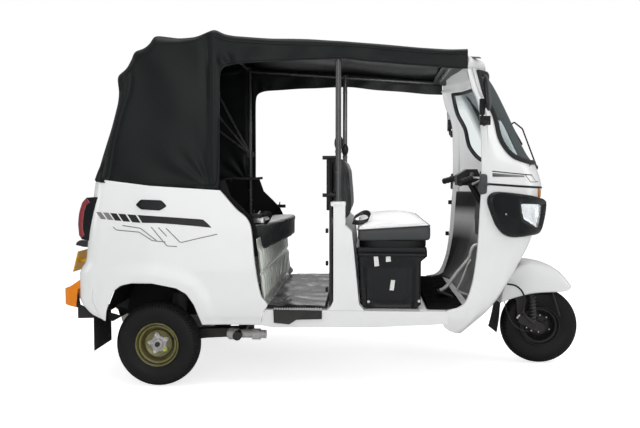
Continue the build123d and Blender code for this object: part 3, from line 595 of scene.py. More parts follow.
def glass_x(z):
    """Side edge of the screen at heights z."""
    return eased(z, GLASS_EDGE[:, 1], GLASS_EDGE[:, 0])


# heights of the rows: foot, wheel opening, under the screen, beside the screen
FOOT_ROWS = np.linspace(LOWER_EDGE[-1, 1], NOSE_ARCH_TOP, 44)
BODY_ROWS = np.linspace(NOSE_ARCH_TOP, GLASS_EDGE[0, 1], 46)
PILLAR_ROWS = np.linspace(GLASS_EDGE[0, 1], GLASS_EDGE[-1, 1], 44)
HEAD_ROWS = np.linspace(GLASS_EDGE[-1, 1], SEAM_Z, 3)
split_start = section_place(GLASS_EDGE[:1, 1], GLASS_EDGE[:1, 0], 0)[0]
EYE_LINE = 0.15                       # half width of the wheel opening's flat top


# edges of the cowl's patches, each as section parameters at heights z
def door_u(z):
    return section_place(z, door_front_x(z), 0)


def arch_u(z):
    return section_place(z, np.interp(z, NOSE_ARCH[:, 1], NOSE_ARCH[:, 0]), 1)


def eye_u(z):
    return section_place(z, EYE_LINE + 0 * z, 1)


def screen_u(z):
    return section_place(z, glass_x(z), 0)


split_u, nose_u = level(split_start), level(NOSE)
cowl_sheet = [cowl_span(rows, start(rows), stop(rows), columns) for rows, start, stop,
    columns in ((FOOT_ROWS, door_u, split_u, 40), (FOOT_ROWS, split_u, arch_u, 20),
    (BODY_ROWS, door_u, split_u, 40), (BODY_ROWS, split_u, eye_u, 20), (BODY_ROWS, eye_u, nose_u, 10),
    (PILLAR_ROWS, door_u, screen_u, 40), (HEAD_ROWS, door_u, screen_u, 40),
    (HEAD_ROWS, screen_u, nose_u, 30))]
POST_DEPTH, POST_WIDTH = 0.026, 0.034
door_line = np.concatenate([cowl_sheet[k][1 if k != 0 else 0:, 0] for k in (0, 2, 5, 6)])
door_line = door_line[door_line[:, 2] > 0.39]
post_fold = np.stack([door_line, door_line + (0, POST_DEPTH, 0), door_line + (POST_WIDTH, POST_DEPTH, 0),
    door_line + (POST_WIDTH, 0.012, 0)], 1)
piece("front_cowl_shell", cowl_sheet + [post_fold], white_enamel, away_from=(0.5, 0, 0.9),
    wall=0.004, mirrored=True, stands_for="front_cowl")

# visor: carries on the cowl's form, rolls over at the top and tucks in under its front edge
up, along = fill(22, 60)
VISOR_ROWS = SEAM_Z + 0.082 * np.linspace(0, 1, 22)
visor = cowl_span(VISOR_ROWS, section_place(VISOR_ROWS, 0.643 + 0 * VISOR_ROWS, 0), nose_u(VISOR_ROWS), 60)
lean = unit(xyz(visor[..., 0] - 0.52, visor[..., 1] * 0.35, 0))
roll = 0.019 * np.sin(pi * held(up / 0.8)) - 0.085 * held((up - 0.5) / 0.5) ** 2.2
visor = visor + roll[..., None] * lean
tuck = visor[0] - lean[0] * 0.012
piece("header_visor", [visor, np.stack([tuck + (0, 0, 0.004), visor[0]], 0)], white_enamel,
    away_from=(0.5, 0, 1.5), wall=0.004, mirrored=True, stands_for="header")

# glass, its edge and its rubber
glass, tree = new_material("laminated_glass")
clear = node(tree, "BsdfTransparent", Color=(0.93, 0.96, 0.955, 1))
gloss = node(tree, "BsdfGlossy", Color=(0.26, 0.29, 0.3, 1),
    Roughness=ramp(tree, used(tree, PATCHES, Scale=5.0), 0.0, 1.0, 0.015, 0.06))
both = node(tree, "MixShader", Fac=ramp(tree, node(tree, "LayerWeight").outputs["Facing"], 0.24, 0.5, 0.05,
    0.86))
wire(tree, (clear.outputs[0], both.inputs[1]), (gloss.outputs[0], both.inputs[2]),
    (both.outputs[0], tree.nodes["Material Output"].inputs["Surface"]))
SCREEN_ROWS = np.linspace(GLASS_EDGE[0, 1], GLASS_EDGE[-1, 1], 60)
screen_sheet = cowl_span(SCREEN_ROWS, screen_u(SCREEN_ROWS), nose_u(SCREEN_ROWS), 50)
piece("windscreen_glass", [screen_sheet - (0.003, 0, 0)], glass, away_from=(0.4, 0, 1.3),
    wall=0.004, mirrored=True, stands_for="windscreen")

rubber = finish_of("black_rubber", (0.012, 0.012, 0.013), 0.45, patch=9.0, grain=500.0, depth=0.05,
    shine=0.35)


def tube(path, radius, sides=12, closed=False):
    """Round bar along a path: centre + radius (n cos a + b sin a), with n and b square to the path.
    Open ends are closed to a point."""
    path = np.asarray(path, float)
    radius = np.broadcast_to(radius, len(path))
    if closed:
        way = np.roll(path, -1, 0) - np.roll(path, 1, 0)
    else:
        way = np.gradient(path, axis=0)
        path = np.concatenate([path[:1], path, path[-1:]])
        way = np.concatenate([way[:1], way, way[-1:]])
        radius = np.concatenate([[0], radius, [0]])
    way = unit(way)
    axes = np.eye(3)
    up_axis = axes[np.abs(way @ axes).max(0).argmin()]
    n = unit(np.cross(way, up_axis))
    b = np.cross(way, n)
    a = circle(sides)
    ring = np.cos(a)[:, None] * n[:, None] + np.sin(a)[:, None] * b[:, None]
    return path[:, None] + radius[:, None, None] * ring, "both" if closed else "columns"


def rim_of(side, foot, head):
    """Closed line round an opening, from its right side, foot and head, up to the middle plane."""
    half = np.concatenate([side, foot[1:]])
    other = (1, -1, 1)
    return np.concatenate([half, (half * other)[::-1][1:], (head * other)[1:], head[::-1][1:-1]])


border = rim_of(screen_sheet[::-1, 0], screen_sheet[0], screen_sheet[-1])
away = unit(border - (0.5, 0, 1.3))
piece("windscreen_seal", [tube(border + 0.002 * away, 0.0125, 10, closed=True)], rubber)
# ---- folding hood
# One sheet of black coated cloth, welded up with a seam round the rear corner and along each bow,
# stretched over three bows, the roof rails and the rear pillars, and held to the tub by its hem. It
# sags between the bows and creases where it is pulled round the pillars' feet.
CROWN = mm([(-1165, 1022), (-1157, 1062), (-1132, 1141), (-1084, 1284), (-1052, 1403), (-1046, 1459),
    (-1056, 1530), (-1010, 1562), (-981, 1610), (-969, 1648), (-920, 1659), (-888, 1686), (-868, 1722),
    (-749, 1708), (-660, 1716), (-566, 1750), (-520, 1724), (-474, 1715), (-289, 1699), (59, 1686),
    (240, 1669), (420, 1651), (560, 1642), (646, 1641)])
# where each of these hangs down to, fanned out from the pillars
HANG = mm([(-1152, 1010), (-1120, 1008), (-1060, 1000), (-960, 989), (-860, 983), (-800, 979), (-735, 975),
    (-690, 972), (-650, 970), (-615, 968), (-590, 967), (-568, 966), (-545, 965), (-543, 1130),
    (-542, 1330), (-541, 1520), (-532, 1562), (-480, 1577), (-289, 1588), (59, 1600), (200, 1581),
    (421, 1563), (560, 1549), (646, 1546)])
HOOD_HALF, HEM_HALF = 0.592, 0.603
HOOD_CLOTH = 0.003
STATIONS, HALF_COLUMNS = 330, 84

hood_vinyl = finish_of("hood_vinyl", (0.003, 0.0048, 0.005), 0.34, second=(0.0052, 0.0076, 0.0078),
    patch=3.0, grain=420.0, depth=0.16, dust=0.08, dust_colour=(0.06, 0.062, 0.06), rough_to=0.5, shine=0.2)


def travelled(points):
    """Distance along a line of points."""
    return np.concatenate([[0], np.cumsum(np.linalg.norm(np.diff(points, axis=0), axis=-1))])


def relaxed(line, width):
    """Line of points smoothed by a bell of the given width in points, its two ends kept."""
    reach = 3 * width
    weights = np.exp(-0.5 * (np.arange(-reach, reach + 1) / width) ** 2)
    padded = np.concatenate([2 * line[:1] - line[reach:0:-1], line, 2 * line[-1:] - line[-2:-reach - 2:-1]])
    return np.stack([np.convolve(padded[:, k], weights / weights.sum(), "valid")
        for k in range(line.shape[1])], -1)


far = travelled(CROWN)
steps = np.linspace(0, far[-1], STATIONS)
crown = relaxed(np.stack([np.interp(steps, far, CROWN[:, k]) for k in (0, 1)], -1), 2)
hang = relaxed(np.stack([np.interp(steps, far, HANG[:, k]) for k in (0, 1)], -1), 3)

# across: up the side, round the shoulder, then over the top to the middle plane
SIDE_SHARE, TURN_SHARE = 0.56, 0.16
t = np.linspace(0, 1, HALF_COLUMNS)[None, :]
side = held(t / SIDE_SHARE)
bend = held((t - SIDE_SHARE) / TURN_SHARE)
over = held((t - SIDE_SHARE - TURN_SHARE) / (1 - SIDE_SHARE - TURN_SHARE))
drop = np.linalg.norm(crown - hang, axis=1)[:, None]
rise = unit(crown - hang)
on_roof = held((crown[:, :1] + 0.8) / 0.22)
shoulder = np.minimum(0.046 - 0.026 * on_roof, 0.45 * drop)
angle = bend * pi / 2
s = side * (drop - shoulder) + shoulder * np.sin(angle)
spot = hang[:, None] + s[..., None] * rise[:, None]
lean_in = HEM_HALF + (HOOD_HALF - HEM_HALF) * held((spot[..., 1] - 1.0) / 0.42)
y = -(lean_in - shoulder * (1 - np.cos(angle)))
y = np.where(over > 0, y * (1 - over), y)
bulge = 0.014 * (1 - held(np.abs(y) / (HOOD_HALF - 0.02)) ** 2) * (bend >= 1)
spot = spot + bulge[..., None] * rise[:, None]
x, z = spot[..., 0], spot[..., 1]

# creases of the side: pulled round the pillar, fanned from the pillar's foot, slack under the bows
PILLAR_X = -0.574
on_side = held(1 - bend * 1.6)
pillar = 0.0055 * bell(x - PILLAR_X, 0.011) * held((z - 1.0) / 0.08)
slack = -0.004 * bell(x - PILLAR_X + 0.035, 0.022)
foot = (-0.59, 0.985)
away_x, away_z = x - foot[0], z - foot[1]
reach = np.hypot(away_x, away_z)
fan = np.arctan2(away_z, -away_x)
folds = 0.0042 * np.sin(fan * 13.0 + 0.6) * bell(reach - 0.13, 0.1) * (away_x < 0)
pulls = 0.003 * np.sin(fan * 9.0 + 5.5 * reach) * held((reach - 0.2) / 0.2) \
    * held((1.62 - z) / 0.3) * (x < -0.6)
slopes = 0.0022 * np.sin(24 * x + 15 * z + 2.5 * np.sin(7 * z)) * (x < -0.6)
valance = 0.0055 * np.sin(21 * x + 3.0 * np.sin(4.2 * x)) * held((1.66 - z) / 0.05) \
    * held((x + 0.47) / 0.08) * held((0.6 - x) / 0.1)
knot = 0.007 * np.sin(75 * (x + 0.4 * z)) * np.exp(-((x + 0.505) / 0.05) ** 2 - ((z - 1.6) / 0.03) ** 2)
rear_x = np.interp(z, [1.0, 1.18, 1.34, 1.45, 1.52], [-1.118, -1.085, -1.046, -1.01, -1.0])
rear_fold = held((z - 0.99) / 0.05) * held((1.56 - z) / 0.05) * (0.008 * bell(x - rear_x, 0.01) - 0.004
    * bell(x - rear_x - 0.022, 0.012) + 0.006 * bell(x - rear_x + 0.036, 0.008))
y = y - on_side * (pillar + slack + folds + pulls + slopes + valance + knot + rear_fold)

# creases of the roof and the back, running from bow to bow
on_top = held(bend * 1.3 - 0.3)
ripple = 0.0026 * np.sin(26 * y + 3.0 * np.sin(5 * x)) + 0.0022 * np.sin(11 * y - 8 * x + 1.0)
spot = spot + (on_top * ripple)[..., None] * rise[:, None]
half_hood = xyz(spot[..., 0], y, spot[..., 1])
# the roof's edge comes down to the front rail, and the window's panel is a hole in the back
WINDOW_LOW, WINDOW_HIGH, WINDOW_HALF = 1.17, 1.39, 0.31
window_rows = (crown[:, 1] > WINDOW_LOW) & (crown[:, 1] < WINDOW_HIGH) & (crown[:, 0] < -1.0)
first_row, last_row = np.flatnonzero(window_rows)[[0, -1]]
window_column = int(np.argmin(np.abs(half_hood[first_row, :, 1] + WINDOW_HALF)))
hood_sheet = [half_hood[:first_row + 1], half_hood[first_row:last_row + 1, :window_column + 1],
    half_hood[last_row:]]
hood = piece("hood_cloth", hood_sheet, hood_vinyl, away_from=(-0.4, 0, 1.2), wall=HOOD_CLOTH,
    crease=60, mirrored=True, stands_for="hood")
float(values_of(hood.data.polygons, "area").sum())

# clear window and the welted seams
clear_vinyl, tree = new_material("clear_vinyl")
wavy = outlet(tree, "TexNoise", Scale=14.0, Vector=place_in(tree))
shade(tree, Base_Color=(0.8, 0.83, 0.81, 1), Roughness=0.14, Transmission_Weight=0.9, IOR=1.12,
    Normal=bumped(tree, wavy, 0.004))
pane = half_hood[first_row:last_row + 1, window_column:]
piece("rear_window_pane", [pane + (0.0015, 0, 0)], clear_vinyl, away_from=(-0.4, 0, 1.2),
    mirrored=True, stands_for="rear_window")

corner_column = int(SIDE_SHARE * (HALF_COLUMNS - 1)) - 3


def seam_line(rows, column, out=0.0015):
    """Line along one column of the hood, a little proud of it."""
    return half_hood[rows, column] - (0, out, 0)


rear_rows = slice(4, int(np.argmin(np.abs(crown[:, 0] + 0.868))))
seams = [tube(seam_line(slice(rear_rows.stop + 44, STATIONS - 2), corner_column), 0.0026, 8),
    tube(seam_line(slice(3, rear_rows.stop + 30), 2), 0.003, 8),
    tube(seam_line(slice(rear_rows.stop + 44, STATIONS - 2), 5), 0.0024, 8)]
piece("hood_seams", seams, hood_vinyl, mirrored=True)
frame_line = rim_of(pane[:, 0], pane[-1], pane[0])
piece("rear_window_welt", [tube(frame_line - (0.003, 0, 0), 0.006, 8, closed=True)], hood_vinyl)
# ---- wheels
# Cross-ply tyres on two-piece pressed steel rims. The rear rims are painted olive gold and bolt to
# five-armed hubs, the front one is black round a brake drum. The tyre has zigzag ribs and notched
# shoulders.
HUB_Z = 0.209
# half of the tyre's section from the bead to the crown, and the rim's outer face and barrel: radius,
# distance out from the wheel's middle plane
TYRE_HALF = mm([(99, 0), (99, 30), (104, 40), (110, 43.5), (118, 45), (127, 49), (142, 54.5), (156, 56),
    (170, 55), (182, 52), (191, 48.5), (197.5, 44), (202.5, 36), (206.2, 24), (208.4, 10), (209, 0)])
RIM_FACE = mm([(0, 8), (30, 8), (50, 7), (58, 9), (63, 12.5), (66, 13), (69, 8), (71, 0), (73, -6),
    (77, -7), (79.5, -3), (81, 10), (83, 25), (86, 32), (89, 35.5), (92, 36), (95, 34), (97, 28.5),
    (98.6, 27), (99.8, 38), (101.5, 46), (104.5, 48.8), (107.5, 47.6), (109, 44), (108.5, 40.5), (104, 37)])
RIM_BACK = mm([(100, 30), (96, 0), (100, -30), (108.6, -41), (108.5, -47), (104, -48), (100, -44),
    (95, -30), (88, -12), (80, -12), (60, -6), (0, -6)])
ARMS, ARM_TIP, ARM_WAIST, ARM_TURN = 5, 0.058, 0.037, 102.0
TREAD_GROOVES, ZIGZAGS, NOTCHES = (0.011, 0.0285), 40, 80

tyre_rubber = finish_of("tyre_rubber", (0.0035, 0.0035, 0.0038), 0.48, second=(0.006, 0.006, 0.006),
    patch=11.0, grain=900.0, depth=0.05, dust=0.2, dust_colour=(0.02, 0.0195, 0.018), shine=0.2)
olive_paint = finish_of("olive_paint", (0.165, 0.15, 0.036), 0.3, second=(0.12, 0.11, 0.03), patch=14.0,
    dust=0.55, dust_colour=(0.16, 0.15, 0.11), rough_to=0.5, Coat_Weight=0.35, Coat_Roughness=0.18,
    Metallic=0.25)
black_enamel = finish_of("black_enamel", (0.006, 0.006, 0.0065), 0.34, second=(0.011, 0.011, 0.011),
    patch=12.0, dust=0.3, dust_colour=(0.06, 0.056, 0.05), rough_to=0.55, shine=0.3)
cast_grey = finish_of("cast_grey", (0.46, 0.45, 0.45), 0.4, second=(0.33, 0.32, 0.32), patch=40.0,
    grain=1400.0, depth=0.06, dust=0.3, Metallic=0.15)
zinc = finish_of("zinc_plate", (0.62, 0.62, 0.6), 0.28, second=(0.42, 0.41, 0.38), patch=60.0,
    Metallic=0.85)


def resampled(points, count, smooth=0):
    """Points at even distances along a line, smoothed by that many points."""
    far = travelled(points)
    line = np.stack([np.interp(np.linspace(0, far[-1], count), far, points[:, k])
        for k in range(points.shape[1])], -1)
    return relaxed(line, smooth) if smooth else line


def turned(centre, profile, sides, out=-1.0, start=0.0):
    """Turned form about a wheel's axle: the profile of radius and distance out, carried round; radius
    may also be given for each angle, as an array (sides, points)."""
    a = start + circle(sides)[:, None]
    radius = profile[..., 0]
    return xyz(centre[0] + radius * np.cos(a), centre[1] + out * profile[..., 1],
        centre[2] + radius * np.sin(a)), "rows"


def tyre_form(centre, out):
    """Tyre with its tread cut in: the section's radius less zigzag grooves and shoulder notches."""
    half = resampled(TYRE_HALF, 62, 1)
    section = np.concatenate([half[:-1], (half * (1, -1))[::-1]])[:-1]
    a = circle(640)[:, None]
    width = section[:, 1][None, :]
    on_tread = held((section[:, 0] - 0.194) / 0.004)[None, :]
    zigzag = 0.0028 * (np.abs((a * ZIGZAGS / (2 * pi)) % 1 * 2 - 1) * 2 - 1)
    groove = sum(np.exp(-((np.abs(width) - g - zigzag) / 0.0026) ** 4) for g in TREAD_GROOVES)
    notch = (np.cos(NOTCHES * a) > 0.35) * np.exp(-((np.abs(width) - 0.0445) / 0.0065) ** 6)
    sipe = (np.cos(NOTCHES * a + 0.8) > 0.9) * (np.abs(np.abs(width) - 0.02) < 0.006)
    radius = section[:, 0] - on_tread * (0.0055 * held(groove) + 0.003 * sipe) - 0.004 * notch * on_tread
    ring = 0.0007 * bell(section[:, 0] - 0.128, 0.0018) \
        + 0.0006 * bell(section[:, 0] - 0.176, 0.0014)
    wide = width + np.sign(width) * (ring - 0.0034 * notch * (section[:, 0] > 0.186))
    return turned(centre, np.stack([radius, wide], -1), 640, out)[0], "both"


def star_form(centre, out):
    """Five-armed hub flange: radius swings between waist and tip five times round, over a low dome."""
    a = circle(160)[:, None]
    swing = 0.5 + 0.5 * np.cos(ARMS * (a - radians(ARM_TURN)))
    reach = ARM_WAIST + (ARM_TIP - ARM_WAIST) * swing ** 1.5
    share = np.array([1, 1, 0.96, 0.9, 0.8, 0.7, 0.6, 0.5])[None, :]
    height = np.array([8, 13.5, 15.5, 16.2, 17, 18.5, 20, 21])[None, :] * MM
    arm = np.stack(np.broadcast_arrays(np.maximum(reach * share, 0.026), height), -1)
    cap = mm([(26, 20), (25, 25), (23.5, 27.5), (21, 28.6), (10, 29.4), (0, 29.5)])
    centre_cap = np.broadcast_to(cap, (160, 6, 2))
    return turned(centre, np.concatenate([arm, centre_cap], 1), 160, out)


def nut(centre, out, size, high, start=0.2):
    """Hexagon nut with a chamfer, and its stud's end."""
    profile = np.array([(size, 0), (size, high * 0.8), (size * 0.88, high), (size * 0.5, high),
        (size * 0.46, high * 1.4), (0, high * 1.45)])
    return turned(centre, profile, 6, out, start)


def around(centre, radius, angle, out, lift):
    """Point at an angle round an axle, lifted out of the wheel's middle plane."""
    return (centre[0] + radius * cos(angle), centre[1] + out * lift, centre[2] + radius * sin(angle))


rim_profile = np.concatenate([RIM_FACE, RIM_BACK])
for side, out in (("right", -1.0), ("left", 1.0)):
    hub, body = (-0.857, out * 0.575, HUB_Z), "rear_wheel_" + side
    piece("rear_tyre_form_" + side, [tyre_form(hub, out)], tyre_rubber, body, crease=28,
        stands_for="rear_tyre_" + side)
    piece("rear_rim_form_" + side, [turned(hub, rim_profile, 128, out)], olive_paint, body,
        crease=50, stands_for="rear_rim_" + side)
    piece("rear_hub_" + side, [star_form(hub, out)], cast_grey, body, crease=30)
    angles = [radians(ARM_TURN + 72 * k) for k in range(ARMS)]
    nuts = [nut(around(hub, 0.044, a, out, 0.0155), out, 0.0078, 0.0075, a) for a in angles]
    rivets = [nut(around(hub, 0.036, a + radians(36), out, 0.008), out, 0.0042, 0.003) for a in angles]
    stem = tube([around(hub, 0.088, 0.35, out, 0.03), around(hub, 0.084, 0.35, out, 0.045),
        around(hub, 0.081, 0.35, out, 0.052)], [0.0045, 0.0042, 0.0032], 10)
    piece("rear_nuts_" + side, nuts + rivets, zinc, body, crease=30)
    piece("rear_valve_" + side, [stem], rubber, body)

# a dab of marking paint on one nut, as left by the fitter
dab_paint = finish_of("marking_paint", (0.5, 0.56, 0.03), 0.4, patch=50.0)
dab_at = around((-0.857, -0.575, HUB_Z), 0.044, radians(ARM_TURN + 72 * 3), -1.0, 0.0165)
a, r = circle(20)[:, None], np.linspace(0, 1, 6)[None, :]
size = 0.0105 * (1 + 0.22 * np.sin(3 * a + 1))
dab = xyz(dab_at[0] + size * r * np.cos(a), dab_at[1] - 0.0135 * (1 - r ** 4),
    dab_at[2] + size * r * np.sin(a))
piece("marking_dab", [(dab, "rows")], dab_paint, "rear_wheel_right",
    away_from=(-0.857, 0, HUB_Z))

# front wheel: drum with cooling ribs, its backing plate on the left
front_hub = (1.128, 0.0, HUB_Z)
piece("front_tyre_form", [tyre_form(front_hub, -1.0)], tyre_rubber, "front_wheel", crease=28,
    stands_for="front_tyre")
FRONT_FACE = mm([(0, 24), (14, 24), (20, 22), (24, 16), (30, 15), (52, 14), (58, 12), (61, 9), (62, 5),
    (66, 4), (70, 1), (73, -4), (77, -5), (79.5, -2), (81, 10), (83, 25), (85.5, 31), (89, 33), (94, 33.5),
    (97, 32), (98.6, 33), (99.6, 40), (101.5, 46), (104.5, 48.8), (107.5, 47.6), (109, 44), (108.5, 40.5),
    (104, 37)])
piece("front_rim_form", [turned(front_hub, np.concatenate([FRONT_FACE, RIM_BACK]), 128)], black_enamel,
    "front_wheel", crease=40, stands_for="front_rim")
front_nuts = [nut(around(front_hub, 0.04, radians(30 + 72 * k), -1.0, 0.014), -1.0, 0.0075, 0.007)
    for k in range(5)]
piece("front_nuts", front_nuts, black_enamel, "front_wheel", crease=30)
bolt_places = [(1.086, 0.18), (1.123, 0.175), (1.15, 0.186), (1.058, 0.197), (1.183, 0.188), (1.13, 0.268),
    (1.167, 0.256)]
piece("front_drum_bolts", [nut((x, -0.028 - 0.006 * (k % 2), z), -1.0, 0.0042, 0.004, k) for k,
    (x, z) in enumerate(bolt_places)], zinc, "front_wheel", crease=30)
# ---- headlamp pods
# A black moulded pod wraps each front corner of the cowl and holds a clear lamp behind a sunk lens.
# Its edge is rounded down onto the paint, and one screw holds it at the side.
ARC_U = np.linspace(0, NOSE, 900)
ARC = travelled(cowl_at(ARC_U, 0.85))    # distance forward along the cowl at mid height


def on_cowl(q, z, lift=0.0):
    """Point at distance q round the cowl and height z, lifted along the surface's normal."""
    u = np.interp(q, ARC, ARC_U)
    here = cowl_at(u, z)
    ahead = cowl_at(np.minimum(u + 0.02, NOSE), z) - cowl_at(np.maximum(u - 0.02, 0), z)
    above = cowl_at(u, z + 0.004) - cowl_at(u, z - 0.004)
    normal = unit(np.cross(above, ahead))
    normal = normal * np.sign((normal * (here - (0.4, 0.0, 0.9))).sum(-1, keepdims=True))
    return here + np.asarray(lift)[..., None] * normal


def on_tub(x, z, lift=0.0):
    """Point of the tub's right side at x and z, lifted outwards."""
    here = tub_side(*np.broadcast_arrays(np.asarray(x, float), np.asarray(z, float)))
    return here + np.asarray(lift)[..., None] * np.array([0, -1.0, 0])


def outline(corners, count=160, rounding=3):
    """Closed outline through corners in millimetres, evenly stepped and rounded by a bell."""
    corners = np.asarray(corners, float) * MM
    loop = resampled(np.concatenate([corners, corners[:1]]), count + 1)[:-1]
    reach = 3 * rounding
    return relaxed(np.concatenate([loop[-reach:], loop, loop[:reach]]), rounding)[reach:-reach]


def spoke(loop, centre, angles):
    """Distance from centre to a closed outline along each angle."""
    away = loop - centre
    turn = np.arctan2(away[:, 1], away[:, 0])
    order = np.argsort(turn)
    return np.interp(angles, turn[order], np.hypot(*away.T)[order], period=2 * pi)


def boss(place, corners, height, edge=0.3, power=2.4, count=120, rounding=3, rings=14, sink=-0.002):
    """Raised form over an outline: height times a superellipse of the distance in from the edge."""
    loop = outline(corners, count, rounding)
    centre = loop.mean(0)
    s = (np.linspace(0, 1, rings) ** 1.6)[None, :]
    flat = loop[:, None] + s[..., None] * (centre - loop[:, None])
    rise = (1 - held(1 - s / edge) ** power) ** (1 / power)
    lift = sink + (height - sink) * rise
    return place(flat[..., 0], flat[..., 1], lift), "rows"


gloss_black = finish_of("gloss_black_plastic", (0.0045, 0.0055, 0.0065), 0.24,
    second=(0.0065, 0.0075, 0.0085), patch=5.0, dust=0.08, rough_to=0.32, shine=0.24)
dull_black = finish_of("dull_black_plastic", (0.006, 0.007, 0.0075), 0.44, second=(0.01, 0.011, 0.011),
    patch=7.0, grain=800.0, depth=0.07, dust=0.25, dust_colour=(0.09, 0.085, 0.075), shine=0.22)
POD = [(214, 927), (222, 950), (249, 967), (307, 963), (385, 955), (465, 944), (505, 938), (560, 925),
    (592, 860), (600, 780), (575, 752), (484, 746), (437, 741), (377, 740), (332, 753), (292, 782),
    (268, 809), (245, 855), (229, 891)]
BEZEL = [(380, 932), (445, 934), (508, 932), (552, 915), (574, 860), (580, 784), (540, 778), (472, 796),
    (408, 823), (392, 880)]
LENS = [(404, 904), (453, 903), (512, 900), (535, 896), (545, 850), (549, 792), (530, 788), (480, 807),
    (431, 829), (416, 866)]


def pod_depth(q):
    """How far the pod stands off the cowl at distance q round it: 24 mm, growing to 38 at the nose."""
    return 0.024 + 0.014 * held((q - 0.4) / 0.16)


pod_edge, bezel_edge, lens_edge = outline(POD, 220, 5), outline(BEZEL, 200, 3), outline(LENS, 200, 2)
lamp_centre = lens_edge.mean(0)
a = np.linspace(-pi, pi, 200, endpoint=False)
ray = np.stack([np.cos(a), np.sin(a)], -1)
reach = [spoke(loop, lamp_centre, a) for loop in (pod_edge, bezel_edge, lens_edge)]
s = np.linspace(0, 1, 40)[None, :] ** 1.5
away = reach[0][:, None] + s * (reach[1] - reach[0])[:, None]
depth_in = reach[0][:, None] - away
round_over = (1 - held(1 - depth_in / 0.026) ** 2.5) ** (1 / 2.5)
slope = np.array([0, 0.06, 0.22, 0.5, 0.8, 1.0])[None, :]
sunk = reach[1][:, None] + slope * (reach[2] - reach[1])[:, None]
q_z = lamp_centre + np.concatenate([away, sunk], 1)[..., None] * ray[:, None]
rise = np.concatenate([round_over, np.ones(sunk.shape)], 1) * (pod_depth(q_z[..., 0]) + 0.002) - 0.002
fall = np.concatenate([0 * away, np.broadcast_to(mm([0, 0.5, 2, 7, 12, 16]), sunk.shape)], 1)
piece("headlamp_pod", [(on_cowl(q_z[..., 0], q_z[..., 1], rise - fall), "rows")], gloss_black,
    away_from=(0.6, 0, 0.85), crease=40, mirrored=True, stands_for="headlamp_pods")

# lens: thin clear moulding with fine upright flutes; bright reflector bowl behind it
lamp_clear, tree = new_material("clear_lens")
flutes = outlet(tree, "TexWave", {"bands_direction": "DIAGONAL"}, Scale=26.0, Distortion=0.6,
    Vector=place_in(tree))
shade(tree, Base_Color=(0.94, 0.96, 0.97, 1), Roughness=0.05, Transmission_Weight=0.92, IOR=1.25,
    Normal=bumped(tree, flutes, 0.0012, Strength=0.7))
bright = finish_of("bright_reflector", (0.86, 0.87, 0.88), 0.16, second=(0.7, 0.71, 0.72), patch=18.0,
    Metallic=0.8)
s = np.linspace(0, 1, 16)[None, :]
q_z = lamp_centre + (reach[2][:, None] * 1.03 * s)[..., None] * ray[:, None]
front = pod_depth(q_z[..., 0]) - 0.016 + 0.004 * (1 - s ** 2)
piece("headlamp_lens", [(on_cowl(q_z[..., 0], q_z[..., 1], front), "rows")], lamp_clear,
    away_from=(0.6, 0, 0.85), wall=0.0025, crease=60, mirrored=True, stands_for="headlamp_lenses")
bowl = front - 0.006 - 0.02 * (1 - s ** 2)
facet = 0.0012 * np.cos(24 * a[:, None]) * s
piece("headlamp_bowl", [(on_cowl(q_z[..., 0], q_z[..., 1], np.maximum(bowl + facet, 0.0015)), "rows")],
    bright, away_from=(0.6, 0, 0.85), crease=60, mirrored=True)
piece("pod_screw", [boss(on_cowl, [(307, 851), (319, 851), (319, 862), (307, 862)], 0.0285, edge=0.6,
    count=24, rings=6, sink=0.024)], zinc, away_from=(0.6, 0, 0.85), mirrored=True)

# ---- rub strip, reflector and latch
# A black rubber strip is let into the cowl above the pods and runs round the nose; below it sits an
# amber reflector. The grey box on the doorway's edge is the canvas door's latch.
s = np.linspace(0, pi, 12)[:, None]
q = np.linspace(0.222, ARC[-1], 90)[None, :]
strip_z = eased(q, [0.22, 0.54, 0.983], [1.001, 0.982, 0.974])
strip = on_cowl(q, strip_z + 0.0055 * np.cos(s), 0.0048 * np.sin(s) - 0.0006)
piece("rub_strip", [strip], dull_black, away_from=(0.5, 0, 0.99), mirrored=True)
amber, tree = new_material("amber_reflector")
prisms = node(tree, "TexVoronoi", Scale=420.0, Vector=place_in(tree)).outputs["Distance"]
shade(tree, Base_Color=blend_colour(tree, prisms, (0.7, 0.24, 0.012), (0.42, 0.11, 0.006)), Roughness=0.22,
    Normal=bumped(tree, prisms, 0.0006))
piece("amber_reflector", [boss(on_cowl, [(512, 978), (546, 976), (562, 930), (528, 932)], 0.005, edge=0.25,
    count=60)], amber, away_from=(0.5, 0, 0.95), mirrored=True)
latch_grey = finish_of("latch_grey", (0.06, 0.064, 0.066), 0.45, second=(0.045, 0.048, 0.05), patch=20.0,
    grain=700.0, depth=0.06, shine=0.3)
piece("door_latch_box", [boss(on_cowl, [(184, 1050), (219, 1049), (216, 953), (182, 950)], 0.015, edge=0.22,
    count=80, rounding=2), boss(on_cowl, [(189, 1004), (224, 1004), (224, 992), (189, 992)], 0.018,
    edge=0.3, count=40, rounding=1)], latch_grey, away_from=(0.5, 0, 1.0), mirrored=True)

# ---- coach lines
# Thin printed film laid on the paint: a black band with slashed ends and grey outlines on the tub,
# a fading bar and a fine line on the cowl. Nothing is written on it.


def film(place, upper, lower, columns=24, lift=0.0007):
    """Strip of film between an upper and a lower line, both in millimetres, laid on a surface."""
    top, low = (resampled(np.asarray(line, float) * MM, columns) for line in (upper, lower))
    s = np.linspace(0, 1, 4)[:, None, None]
    flat = top + s * (low - top)
    return place(flat[..., 0], flat[..., 1], lift)


def ribbon(place, line, width, columns=16, lift=0.0009):
    """Line of film of one width in millimetres."""
    line = np.asarray(line, float)
    way = np.gradient(line, axis=0)
    way /= np.linalg.norm(way, axis=1, keepdims=True)
    square = np.stack([-way[:, 1], way[:, 0]], -1) * width / 2
    return film(place, line + square, line - square, columns, lift)


